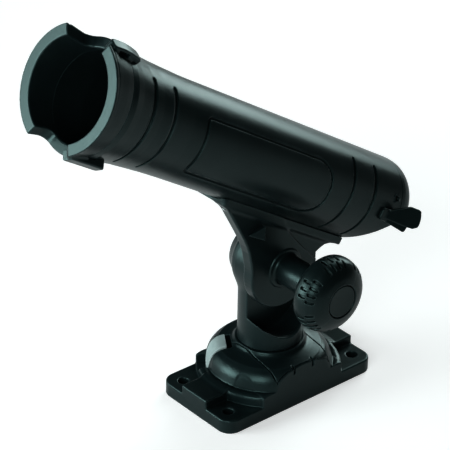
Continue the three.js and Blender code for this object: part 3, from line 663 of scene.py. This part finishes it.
def collar_field(x, y, z):
    radius = np.hypot(y, z)
    turn = np.abs(np.arctan2(y, z))
    ahead = (MOUTH - x) * math.cos(MOUTH_LEAN) - z * math.sin(MOUTH_LEAN) - y * math.sin(MOUTH_SKEW)
    body = meet(polygon(radius, x, COLLAR), ahead, 0.5)
    from_gap = np.minimum(turn, math.pi - turn)
    wall = (from_gap - NOTCH_HALF) * radius
    notch = meet(wall, x - (MOUTH + NOTCH_LENGTH), 4.5)
    body = cut(body, notch, 0.7)
    groove = np.hypot(ahead + 1.9, radius - 29.7) - 0.6
    body = cut(body, groove, 0.25)
    for lug_turn, centre, half, crest, fall, slotted in LUGS:
        u = -y * math.cos(lug_turn) - z * math.sin(lug_turn)
        w = -y * math.sin(lug_turn) + z * math.cos(lug_turn)
        lug = rectangle(x - centre, u, half, 3.0, 1.8)
        roof = w - crest + fall * (x - centre + 4) ** 2
        over_tube = np.where(x > TUBE_FRONT - SEAM, tube_outside(x) + SEAM, 25.4) - radius
        lug = meet(meet(lug, roof, 0.8), np.maximum(over_tube, 20 - w))
        body = union(body, meet(lug, ahead + 1.2), 1.4)
        if slotted:
            slot = rectangle(x - centre + 2.4, w - 28.8, 3.4, 0.85, 0.8)
            body = cut(body, meet(slot, meet(u - 6, 0.8 - u)), 0.3)
    return body


CAP = (
    [(0, TUBE_REAR + GAP - PLUG_LENGTH), (BORE_RADIUS - GAP, TUBE_REAR - PLUG_LENGTH)]
    + [(BORE_RADIUS - GAP, TUBE_REAR + SEAM), (TUBE_RADIUS, TUBE_REAR + SEAM)]
    + smooth_line([(23.35, 48.6), (22.8, 52), (21.2, 55), (18, 57.2), (12, 58.4), (5, 58.8)], 4)
    + [(0, 58.8)]
)


def slant(x, z):
    """Distance past the plane that cuts back the lower part of the rear end."""
    return (x - SLANT_START - np.minimum(z, SLANT_TOP)) * 0.71


def cap_field(x, y, z):
    """A hollow plug with a rounded end. A tongue closes the tube where the slant opens its bore."""
    radius = np.hypot(y, z)
    tongue = meet(radius - BORE_RADIUS + SEAM, between(x, 22, TUBE_REAR))
    tongue = meet(tongue, np.maximum(z + 2, -slant(x, z) - 4.5))
    body = meet(np.minimum(polygon(radius, x, CAP), tongue), slant(x, z), 2.0)
    hollow = meet(meet(radius - PLUG_BORE, x - TUBE_REAR - GAP), slant(x, z) + SLANT_WALL)
    body = cut(body, hollow, 0.3)
    return cut(body, radius - DRAIN_RADIUS, 0.8)


# ---- cleat, about the tube's axis ----
CLEAT_LEAN = 0.66
CLEAT_ROOT = (36.4, 0.6, -0.6)
CLEAT_WING = (
    [(-1.5, -2.3), (11.7, -2.1)]
    + smooth_line([(15.1, -1.6), (17.3, 0.4), (17.0, 4.5), (15.6, 8.0)], 4)
    + [(14.4, 8.5), (10.3, 8.2), (0.2, 1.7), (-1.5, 1.2)]
)
CLEAT_PRONG = [(-1.5, -1.8), (12.6, -2.2), (12.2, -4.6), (11.4, -5.2), (0.6, -3.9), (-1.5, -3.6)]


def cleat_field(x, y, z):
    """A fan-shaped wing and a thinner prong under it. Both lean out from the tube's side."""
    out = -y - TUBE_RADIUS
    c, s = math.cos(CLEAT_LEAN), math.sin(CLEAT_LEAN)
    along = (x - CLEAT_ROOT[0]) * c + (out - CLEAT_ROOT[1]) * s
    across = -(x - CLEAT_ROOT[0]) * s + (out - CLEAT_ROOT[1]) * c
    height = z - CLEAT_ROOT[2]
    thick = 5.6 - 0.24 * np.clip(along, 0, 18)
    wing = meet(polygon(along, height, CLEAT_WING), between(across, 1.6 - thick, 1.6), 0.5)
    prong = meet(polygon(along, height, CLEAT_PRONG), between(across, -3.6, 0.2), 0.4)
    foot = meet(rectangle(x - 36.6, z + 1.2, 4.6, 3.2, 1.6), between(out, -2, 1.8), 0.5)
    body = union(union(foot, wing, 0.6), prong, 0.3)
    return cut(body, np.hypot(y, z) - TUBE_RADIUS - 0.2)


# ---- knob, about the pivot ----
KNOB = (
    [(0, KNOB_BACK)]
    + [(9.8, KNOB_BACK)]
    + smooth_line(
        [
            (10.6, KNOB_BACK - 0.3),
            (13.2, KNOB_FACE + 17.4),
            (16.6, KNOB_FACE + 16.2),
            (18.7, KNOB_FACE + 14.0),
            (KNOB_RADIUS, KNOB_FACE + 11.2),
            (19.0, KNOB_FACE + 8.2),
            (17.9, KNOB_FACE + 5.3),
            (15.6, KNOB_FACE + 2.8),
            (12.4, KNOB_FACE + 1.0),
            (9.2, KNOB_FACE),
        ],
        5,
    )
    + [(0, KNOB_FACE)]
)
SLOT_GROUPS = 6
SLOT_PITCH = math.radians(11.5)
FIRST_GROUP = math.radians(1.5)


def knob_slots(x, y, z):
    """Six groups of short slots round the rim: four towards the face and three behind them."""
    turn = np.arctan2(-x, z) - FIRST_GROUP
    group = 2 * math.pi / SLOT_GROUPS
    turn = turn - np.round(turn / group) * group
    around = np.hypot(x, z)
    nearest = np.full(x.shape, 9.0)
    for count, middle, half in ((4, -46.2, 1.25), (3, -41.9, 1.5)):
        shifted = turn / SLOT_PITCH + (count - 1) / 2
        nearest_slot = np.clip(np.round(shifted), 0, count - 1)
        aside = (shifted - nearest_slot) * SLOT_PITCH * around
        along = np.maximum(np.abs(y - middle) - half, 0)
        nearest = np.minimum(nearest, np.hypot(aside, along) - 0.62)
    return nearest


def knob_field(x, y, z):
    around = np.hypot(x, z)
    outline = polygon(around, y, KNOB)
    body = cut(outline, meet(knob_slots(x, y, z), -outline - 1.3), 0.3)
    body = cut(body, meet(around - CAP_RADIUS - 0.35, y - KNOB_FACE - CAP_DEPTH - GAP), 0.5)
    body = cut(body, meet(around - 7.3, y - KNOB_BACK + 3.6), 0.2)
    return cut(body, around - BOLT_BORE, 0.3)


def knob_cap_field(x, y, z):
    around = np.hypot(x, z)
    dish = KNOB_FACE + 0.35 - 0.0035 * around**2
    return meet(around - CAP_RADIUS, between(y, dish, KNOB_FACE + CAP_DEPTH), 0.45)


# ---- clamp hardware, about the pivot ----
def bolt_field(x, y, z):
    around = np.hypot(x, z)
    head = meet(hexagon(z, x, HEAD_FLATS / 2), between(y, HEAD_LOW, HEAD_HIGH), 0.3)
    head = meet(head, (around - 7.3 + (y - HEAD_HIGH + 0.9) * 1.6) * 0.5, 0.1)
    dimple = np.hypot(around, y - HEAD_HIGH - 6) - 6.6
    head = cut(head, dimple, 0.2)
    pitch = 1.25
    turn = np.arctan2(x, z) / (2 * math.pi)
    wave = np.abs((y / pitch - turn) % 1 - 0.5) * 2
    thread = np.where(y < -33, 0.5 * wave, 0)
    shank = meet((around - BOLT_RADIUS + thread) * 0.7, between(y, BOLT_LOW[1], HEAD_LOW + 1), 0.5)
    return np.minimum(head, shank)


def washer(radius, low, high):
    def field(x, y, z):
        around = np.hypot(x, z)
        return cut(disc(x, z, y, radius, low, high, 0.25), around - BOLT_BORE, 0.2)

    return field


def insert_field(x, y, z):
    body = meet(hexagon(z, x, 5.6), between(y, -46.9, -37.2), 0.4)
    return cut(body, np.hypot(x, z) - BOLT_BORE, 0.4)


def screw_field(x, y, z):
    """Head up, with a cross recess, and the head's underside at z = 0."""
    around = np.hypot(x, y)
    head = meet(around - 3.2, between(z, 0, 1.6), 0.5)
    recess = np.minimum(rectangle(x, y, 1.7, 0.4), rectangle(x, y, 0.4, 1.7))
    head = cut(head, meet(recess, 0.8 - z), 0.1)
    turn = np.arctan2(x, y) / (2 * math.pi)
    wave = np.abs((z / 1.1 - turn) % 1 - 0.5) * 2
    shank = meet((around - 1.5 + 0.35 * wave) * 0.7, between(z, -7.0, 0.5), 0.3)
    return np.minimum(head, shank)


def latch_field(x, y, z):
    u, v = button_frame(x, y)
    low = (-BUTTON_BACK + GAP, -LATCH_HALF, LATCH_LOW)
    plate = block(u, v, z, low, (LATCH_REAR, LATCH_HALF, LATCH_TOP), 0.5)
    clear = SPIGOT_RADIUS + GAP
    shift = np.clip(u, -LATCH_TRAVEL - 0.4, 0)
    plate = cut(plate, np.hypot(u - shift, v) - clear, 0.3)
    lip = block(u, v, z, (SPIGOT_RADIUS - 1.2, -3, LATCH_LOW), (LATCH_REAR, 3, LATCH_TOP), 0.3)
    return np.minimum(plate, lip)


def seal_field(x, y, z):
    return np.hypot(np.hypot(x, y) - SPIGOT_RADIUS + GAP + 0.95, z - 6.7) - 0.95


# ---- springs: a round wire along a coil ----
def coil(name, radius, wire, length, turns, matrix):
    """The wire's centre starts at the origin's level and rises along the local Z axis."""
    sides, count = 12, int(turns * 40)
    t = np.linspace(0, 1, count + 1)
    angle = 2 * math.pi * turns * t
    centre = np.stack([radius * np.cos(angle), radius * np.sin(angle), length * t], 1)
    ahead = np.gradient(centre, axis=0)
    ahead /= np.linalg.norm(ahead, axis=1)[:, None]
    outward = np.stack([np.cos(angle), np.sin(angle), 0 * t], 1)
    up = np.cross(ahead, outward)
    rings = []
    for k in range(sides):
        turn = 2 * math.pi * k / sides
        rings.append(centre + wire * (math.cos(turn) * outward + math.sin(turn) * up))
    vertices = np.stack(rings, 1).reshape(-1, 3)
    faces = []
    for i in range(count):
        for k in range(sides):
            n = (k + 1) % sides
            row, following = i * sides, (i + 1) * sides
            faces.append((row + k, row + n, following + n, following + k))
    faces.append(tuple(range(sides))[::-1])
    faces.append(tuple(count * sides + k for k in range(sides)))
    mesh = bpy.data.meshes.new(name)
    mesh.from_pydata([tuple(v) for v in vertices * MM], [], faces)
    mesh.polygons.foreach_set("use_smooth", [True] * count * sides + [False, False])
    mesh.transform(matrix)
    mesh.update()
    spring = bpy.data.objects.new(name, mesh)
    bpy.context.scene.collection.objects.link(spring)
    return spring


# ---- materials ----
def link(tree, source, out, target, into):
    tree.links.new(source.outputs[out], target.inputs[into])


def node(tree, kind, **settings):
    made = tree.nodes.new(kind)
    for key, value in settings.items():
        if key in made.inputs:
            made.inputs[key].default_value = value
        else:
            setattr(made, key, value)
    return made


def ramp(tree, source, out, stops):
    made = tree.nodes.new("ShaderNodeValToRGB")
    while len(made.color_ramp.elements) < len(stops):
        made.color_ramp.elements.new(0.5)
    for element, (place, colour) in zip(made.color_ramp.elements, stops):
        element.position = place
        element.color = (*colour, 1)
    tree.links.new(source.outputs[out], made.inputs["Fac"])
    return made


def grey(value):
    return (value, value, value)


def new_material(name):
    material = bpy.data.materials.new(name)
    material.use_nodes = True
    tree = material.node_tree
    shader = tree.nodes["Principled BSDF"]
    where = node(tree, "ShaderNodeTexCoord")
    return material, tree, shader, where


def noise(tree, where, scale, detail=3.0, rough=0.5, stretch=None):
    made = node(tree, "ShaderNodeTexNoise", Scale=scale, Detail=detail, Roughness=rough)
    if stretch:
        mapping = node(tree, "ShaderNodeMapping", Scale=stretch)
        link(tree, where, "Object", mapping, "Vector")
        link(tree, mapping, "Vector", made, "Vector")
    else:
        link(tree, where, "Object", made, "Vector")
    return made


WORN_GAIN = 3.2
WORN_LIFT = 0.012


def moulded(name, dark, light, roughness, grain=0.35, wear=0.5, specular=0.32):
    """Moulded plastic: fine spark-eroded grain, cloudy tone, paler worn edges, and light scuffs."""
    material, tree, shader, where = new_material(name)
    cloud = noise(tree, where, 38.0, 4.0, 0.55)
    tone = ramp(tree, cloud, "Fac", [(0.3, dark), (0.72, light)])
    geometry = node(tree, "ShaderNodeNewGeometry")
    edges = ramp(tree, geometry, "Pointiness", [(0.5, grey(0)), (0.56, grey(wear))])
    blotches = noise(tree, where, 120.0, 5.0, 0.6)
    patches = ramp(tree, blotches, "Fac", [(0.35, grey(0.15)), (0.65, grey(1))])
    worn = node(tree, "ShaderNodeMath", operation="MULTIPLY")
    link(tree, edges, "Color", worn, 0)
    link(tree, patches, "Color", worn, 1)
    mixed = node(tree, "ShaderNodeMix", data_type="RGBA")
    mixed.inputs[7].default_value = (*[min(1.0, c * WORN_GAIN + WORN_LIFT) for c in light], 1)
    tree.links.new(worn.outputs[0], mixed.inputs[0])
    tree.links.new(tone.outputs["Color"], mixed.inputs[6])
    tree.links.new(mixed.outputs[2], shader.inputs["Base Color"])
    scuff = ramp(
        tree, noise(tree, where, 55.0, 6.0, 0.65, (1, 6, 1)), "Fac",
        [(0.35, grey(roughness - 0.015)), (0.7, grey(roughness + 0.025))],
    )
    link(tree, scuff, "Color", shader, "Roughness")
    fine = noise(tree, where, 2600.0, 2.0, 0.5)
    coarse = noise(tree, where, 700.0, 3.0, 0.55)
    heights = node(tree, "ShaderNodeMath", operation="MULTIPLY_ADD")
    heights.inputs[1].default_value = 0.6
    link(tree, coarse, "Fac", heights, 0)
    link(tree, fine, "Fac", heights, 2)
    bump = node(tree, "ShaderNodeBump", Strength=grain, Distance=0.00006)
    tree.links.new(heights.outputs[0], bump.inputs["Height"])
    link(tree, bump, "Normal", shader, "Normal")
    shader.inputs["Specular IOR Level"].default_value = specular
    shader.inputs["Specular Tint"].default_value = (0.72, 1.0, 0.98, 1)
    return material


def metal(name, colour, roughness, stretch):
    """Turned or drawn metal: fine tool lines, faint stains and rougher patches."""
    material, tree, shader, where = new_material(name)
    lines = noise(tree, where, 900.0, 4.0, 0.6, stretch)
    stains = noise(tree, where, 260.0, 4.0, 0.6)
    dull = tuple(c * 0.62 for c in colour)
    tone = ramp(tree, stains, "Fac", [(0.32, dull), (0.62, colour)])
    link(tree, tone, "Color", shader, "Base Color")
    rough = ramp(tree, lines, "Fac", [(0.3, grey(roughness - 0.08)), (0.7, grey(roughness + 0.14))])
    link(tree, rough, "Color", shader, "Roughness")
    bump = node(tree, "ShaderNodeBump", Strength=0.3, Distance=0.00005)
    link(tree, lines, "Fac", bump, "Height")
    link(tree, bump, "Normal", shader, "Normal")
    shader.inputs["Metallic"].default_value = 1.0
    return material


BLACK = moulded("black_moulded", (0.0062, 0.0105, 0.0115), (0.0095, 0.0150, 0.0158), 0.29)
KNOB_BLACK = moulded(
    "knob_moulded", (0.0048, 0.0080, 0.0086), (0.0078, 0.0120, 0.0126), 0.30, 0.45
)
PALE = moulded("button_moulded", (0.27, 0.30, 0.30), (0.35, 0.385, 0.385), 0.5, 0.3, 0.2)
NYLON = moulded("latch_nylon", (0.03, 0.034, 0.036), (0.045, 0.05, 0.052), 0.55, 0.2, 0.3)
RUBBER = moulded("seal_rubber", (0.006, 0.006, 0.006), (0.012, 0.012, 0.012), 0.8, 0.5, 0.2)
STEEL = metal("stainless_steel", (0.60, 0.61, 0.62), 0.3, (1, 8, 1))
SPRING_STEEL = metal("spring_wire", (0.48, 0.49, 0.5), 0.35, (1, 1, 6))
BRASS = metal("turned_brass", (0.62, 0.46, 0.2), 0.32, (1, 10, 1))


def finish_piece(piece, material, body, slot, *nodes):
    piece.data.materials.append(material)
    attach(piece, body)
    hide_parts(*nodes)
    return piece


# ---- build ----
def grown(node_name, pad=1.2):
    low, high = box_mm(node_name)
    return low - pad, high + pad


def even_axes(low, high, step):
    return [steps_between(low[i], high[i], step) for i in range(3)]


def plain_piece(name, node_name, field, step, material, body, slot, frame_of=None, box=None):
    low, high = box or grown(node_name)
    piece = shape(name, field, even_axes(low, high, step), frame_of=frame_of)
    return finish_piece(piece, material, body, slot, node_name)


def about_pivot(node_name, pad=1.0):
    low, high = grown(node_name, pad)
    return low - PIVOT, high - PIVOT


def build_base():
    plain_piece("base_plate", "mounting_base", base_field, 0.55, BLACK, "base", "black_plastic")
    plain_piece("dome_bridge", "dome_saddle", saddle_field, 0.42, BLACK, "base", "black_plastic")
    plain_piece("button", "release_button", button_field, 0.28, PALE, "release", "pale_plastic")
    plain_piece("latch", "latch_plate", latch_field, 0.5, NYLON, "release", "nylon")


def build_post():
    plain_piece("post", "swivel_post", post_field, 0.5, BLACK, "swivel", "black_plastic")
    plain_piece("seal", "spigot_ring", seal_field, 0.35, RUBBER, "swivel", "rubber")


def build_clamp():
    for name, node_name, field, step, material, body, slot in (
        ("bolt", "tilt_bolt", bolt_field, 0.28, STEEL, "swivel", "steel"),
        ("head_washer", "bolt_washer", washer(6.3, 8.5, 9.7), 0.3, STEEL, "swivel", "steel"),
        ("knob_shim", "knob_washer", washer(9.4, -32.9, -31.9), 0.3, STEEL, "knob", "steel"),
        ("thread_insert", "knob_insert", insert_field, 0.35, BRASS, "knob", "brass"),
        ("knob_badge", "knob_cap", knob_cap_field, 0.3, KNOB_BLACK, "knob", "dark_plastic"),
    ):
        box = about_pivot(node_name)
        plain_piece(name, node_name, field, step, material, body, slot, on_pivot, box)
    axes = [
        steps_between(KNOB_FACE - 1, KNOB_BACK + 1, 0.34),
        np.linspace(0, 2 * math.pi, int(400 / COARSE), endpoint=False),
        steps_between(3.4, KNOB_RADIUS + 0.8, 0.36),
    ]
    knob = shape("knob", knob_field, axes, round_y, True, on_pivot)
    finish_piece(knob, KNOB_BLACK, "knob", "dark_plastic", "knob_body")


def build_arm():
    axes = [
        steps_between(-68, 36, 0.55),
        steps_between(BOSS_END - 1, 12.5, 0.5),
        steps_between(-ARM_DISC - 1, 34, 0.55),
    ]
    arm = shape("arm", arm_field, axes, frame_of=on_arm)
    finish_piece(arm, BLACK, "tube_arm", "black_plastic", "tilt_arm")


def fine_turns():
    """Turns about the tube's axis, closer together at the panel's long lines."""
    fine = []
    for turn in (PANEL_TOP, PANEL_LOW, 2 * math.pi - PANEL_TOP, 2 * math.pi - PANEL_LOW):
        fine.append((turn - 0.05, turn + 0.04, 0.014))
    for end in (GROOVE_START, GROOVE_END, 2 * math.pi - GROOVE_START, 2 * math.pi - GROOVE_END):
        fine.append((end - 0.07, end + 0.05, 0.02))
    turns = steps_between(0, 2 * math.pi, 0.05, fine)
    return turns[:-1] * (2 * math.pi / turns[-1])


def build_tube():
    fine = [(place - 1.8, place + 1.6, 0.32) for place in GROOVES]
    fine += [
        (PANEL_LEFT - 1.6, PANEL_LEFT + 1.4, 0.35),
        (PANEL_RIGHT - 18, PANEL_RIGHT + 1.4, 0.45),
        (TUBE_FRONT - 0.6, TUBE_FRONT + 1.2, 0.2),
        (TUBE_REAR - 1.2, TUBE_REAR + 0.6, 0.2),
    ]
    axes = [steps_between(TUBE_FRONT - 1, TUBE_REAR + 1, 1.3, fine), fine_turns()]
    axes.append(steps_between(19.4, 30.6, 0.5))
    tube = shape("tube", tube_field, axes, round_x, True, on_tube)
    finish_piece(tube, BLACK, "tube_arm", "black_plastic", "rod_tube")
    around = np.linspace(0, 2 * math.pi, int(330 / COARSE), endpoint=False)
    joint = [(TUBE_FRONT - 1.2, TUBE_FRONT + 0.4, 0.2)]
    axes = [steps_between(-177.5, -144, 0.45, joint), around, steps_between(20.4, 32.2, 0.45)]
    collar = shape("mouth_lips", collar_field, axes, round_x, True, on_tube)
    finish_piece(collar, BLACK, "tube_arm", "black_plastic", "mouth_collar")
    joint = [(TUBE_REAR - 0.4, TUBE_REAR + 1.2, 0.2)]
    axes = [steps_between(21, 60, 0.5, joint), around[::2], steps_between(4.0, 24.4, 0.5)]
    cap = shape("rear_cap", cap_field, axes, round_x, True, on_tube)
    finish_piece(cap, BLACK, "tube_arm", "black_plastic", "end_cap")
    axes = [steps_between(27, 60, 0.32), steps_between(-42, -19, 0.32), steps_between(-8, 10, 0.32)]
    cleat = shape("cleat", cleat_field, axes, frame_of=on_tube)
    finish_piece(cleat, KNOB_BLACK, "tube_arm", "dark_plastic", "cord_cleat")


def build_screws():
    seat = -math.sqrt(BORE_RADIUS**2 - ARM_SCREW_Y**2) - 0.9
    axes = [steps_between(-4, 4, 0.25), steps_between(-4, 4, 0.25), steps_between(-8, 2.4, 0.25)]
    names = (("screw_a", "arm_screw_front"), ("screw_b", "arm_screw_rear"))
    for x, (name, node_name) in zip(ARM_SCREWS, names):
        offset = np.array([x, ARM_SCREW_Y, seat])
        piece = shape(name, screw_field, axes, frame_of=lambda v, n: on_tube(v + offset, n))
        finish_piece(piece, STEEL, "tube_arm", "steel", node_name)
    turned = np.array([[0, 0, 1.0], [1.0, 0, 0], [0, 1.0, 0]])
    offset = np.array([CLEAT_SCREW, -BORE_RADIUS + GAP + 0.4, 0])
    piece = shape(
        "screw_c", screw_field, axes, frame_of=lambda v, n: on_tube(v @ turned.T + offset, n)
    )
    finish_piece(piece, STEEL, "tube_arm", "steel", "cleat_screw")


def build_springs():
    centre = (LATCH_LOW + LATCH_TOP) / 2
    start = Matrix.Rotation(-BUTTON_TURN, 4, "Z") @ Matrix.Translation(
        Vector((LATCH_REAR + GAP + 0.4, 0, centre)) * MM
    ) @ Matrix.Rotation(math.pi / 2, 4, "Y")
    spring = coil("return_spring", 2.4, 0.4, 8.0, 5, start)
    finish_piece(spring, SPRING_STEEL, "base", "steel", "latch_spring")
    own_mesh(spring)
    low, high = box_mm("clutch_spring")
    start = Matrix.Translation(Vector((0, low[1] + 0.5, PIVOT[2])) * MM) @ Matrix.Rotation(
        -math.pi / 2, 4, "X"
    )
    spring = coil("spreader_spring", 5.6, 0.5, high[1] - low[1] - 1.0, 3, start)
    finish_piece(spring, SPRING_STEEL, "swivel", "steel", "clutch_spring")


build_base()
build_post()
build_clamp()
build_arm()
build_tube()
build_screws()
build_springs()


# ---- floor, light and camera ----
FLOOR_GLOW = 0.02
FLOOR_GLOW_SEEN = 0.36
WORLD_GLOW_SEEN = 0.8
FLOOR_SIDE = 6.0
SOFTBOX_SIDE = 0.6
SOFTBOX_DISTANCE = 1.2
SOFTBOX_TARGET = (0, 0, 0.1)
SOFTBOX_COLOUR = (0.82, 1, 0.99)


def add_floor():
    mesh = bpy.data.meshes.new("floor")
    corners = [(-1, -1), (1, -1), (1, 1), (-1, 1)]
    mesh.from_pydata([(u * FLOOR_SIDE, v * FLOOR_SIDE, 0) for u, v in corners], [], [(0, 1, 2, 3)])
    floor = bpy.data.objects.new("floor", mesh)
    bpy.context.scene.collection.objects.link(floor)
    floor.location.z = -0.0002
    material, tree, shader, _ = new_material("pale_floor")
    shader.inputs["Base Color"].default_value = (0.96, 0.86, 0.865, 1)
    shader.inputs["Emission Color"].default_value = (1, 1, 1, 1)
    seen = node(tree, "ShaderNodeLightPath")
    glow = node(tree, "ShaderNodeMath", operation="MULTIPLY_ADD")
    glow.inputs[1].default_value = FLOOR_GLOW_SEEN
    glow.inputs[2].default_value = FLOOR_GLOW
    link(tree, seen, "Is Camera Ray", glow, 0)
    tree.links.new(glow.outputs[0], shader.inputs["Emission Strength"])
    shader.inputs["Roughness"].default_value = 0.9
    shader.inputs["Specular IOR Level"].default_value = 0.1
    mesh.materials.append(material)


def add_softbox(name, azimuth, elevation, power):
    """A square soft light aimed at the object. Azimuth 0 is on the -Y side, 90 on the +X side."""
    a, e = math.radians(azimuth), math.radians(elevation)
    back = Vector((math.sin(a) * math.cos(e), -math.cos(a) * math.cos(e), math.sin(e)))
    lamp = bpy.data.lights.new(name, "AREA")
    lamp.shape = "RECTANGLE"
    lamp.size = lamp.size_y = SOFTBOX_SIDE
    lamp.energy = power
    lamp.color = SOFTBOX_COLOUR
    light = bpy.data.objects.new(name, lamp)
    light.location = Vector(SOFTBOX_TARGET) + back * SOFTBOX_DISTANCE
    light.rotation_mode = "QUATERNION"
    light.rotation_quaternion = back.to_track_quat("Z", "Y")
    bpy.context.scene.collection.objects.link(light)
    return light


def add_world(strength, colour):
    world = bpy.data.worlds.new("studio")
    bpy.context.scene.world = world
    world.use_nodes = True
    background = world.node_tree.nodes["Background"]
    background.inputs["Color"].default_value = (*colour, 1)
    seen = node(world.node_tree, "ShaderNodeLightPath")
    glow = node(world.node_tree, "ShaderNodeMath", operation="MULTIPLY_ADD")
    glow.inputs[1].default_value = WORLD_GLOW_SEEN
    glow.inputs[2].default_value = strength
    link(world.node_tree, seen, "Is Camera Ray", glow, 0)
    world.node_tree.links.new(glow.outputs[0], background.inputs["Strength"])


CAMERA_AZIMUTH = math.radians(40.57)
CAMERA_ELEVATION = math.radians(29.11)
CAMERA_ROLL = math.radians(0.98)
CAMERA_DISTANCE = 0.9728
CAMERA_TARGET = Vector((-0.03044, 0.00008, 0.10057))


def add_camera():
    a, e = CAMERA_AZIMUTH, CAMERA_ELEVATION
    back = Vector((-math.sin(a) * math.cos(e), -math.cos(a) * math.cos(e), math.sin(e)))
    right = Vector((math.cos(a), -math.sin(a), 0))
    up = back.cross(right)
    c, s = math.cos(CAMERA_ROLL), math.sin(CAMERA_ROLL)
    right, up = right * c + up * s, up * c - right * s
    data = bpy.data.cameras.new("camera")
    data.lens = 163.16
    data.sensor_width = 36.0
    data.clip_start = 0.01
    data.clip_end = 20
    camera = bpy.data.objects.new("camera", data)
    turn = Matrix((right, up, back)).transposed().to_4x4()
    camera.matrix_world = Matrix.Translation(CAMERA_TARGET + back * CAMERA_DISTANCE) @ turn
    bpy.context.scene.collection.objects.link(camera)
    bpy.context.scene.camera = camera


add_floor()
add_world(0.01, (0.95, 1.0, 1.0))
# name, azimuth and elevation in degrees, and power in watts
LIGHTS = [
    ("left_low", -115, 12, 10.5),
    ("left_back", -140, 8, 2.0),
    ("front_left", -60, 25, 5.8),
    ("right", 110, 20, 4.8),
    ("right_high", 110, 50, 2.0),
]
for lamp in LIGHTS:
    add_softbox(*lamp)
add_camera()
bpy.context.scene.view_settings.view_transform = "Standard"
bpy.context.scene.view_settings.look = "Medium High Contrast"
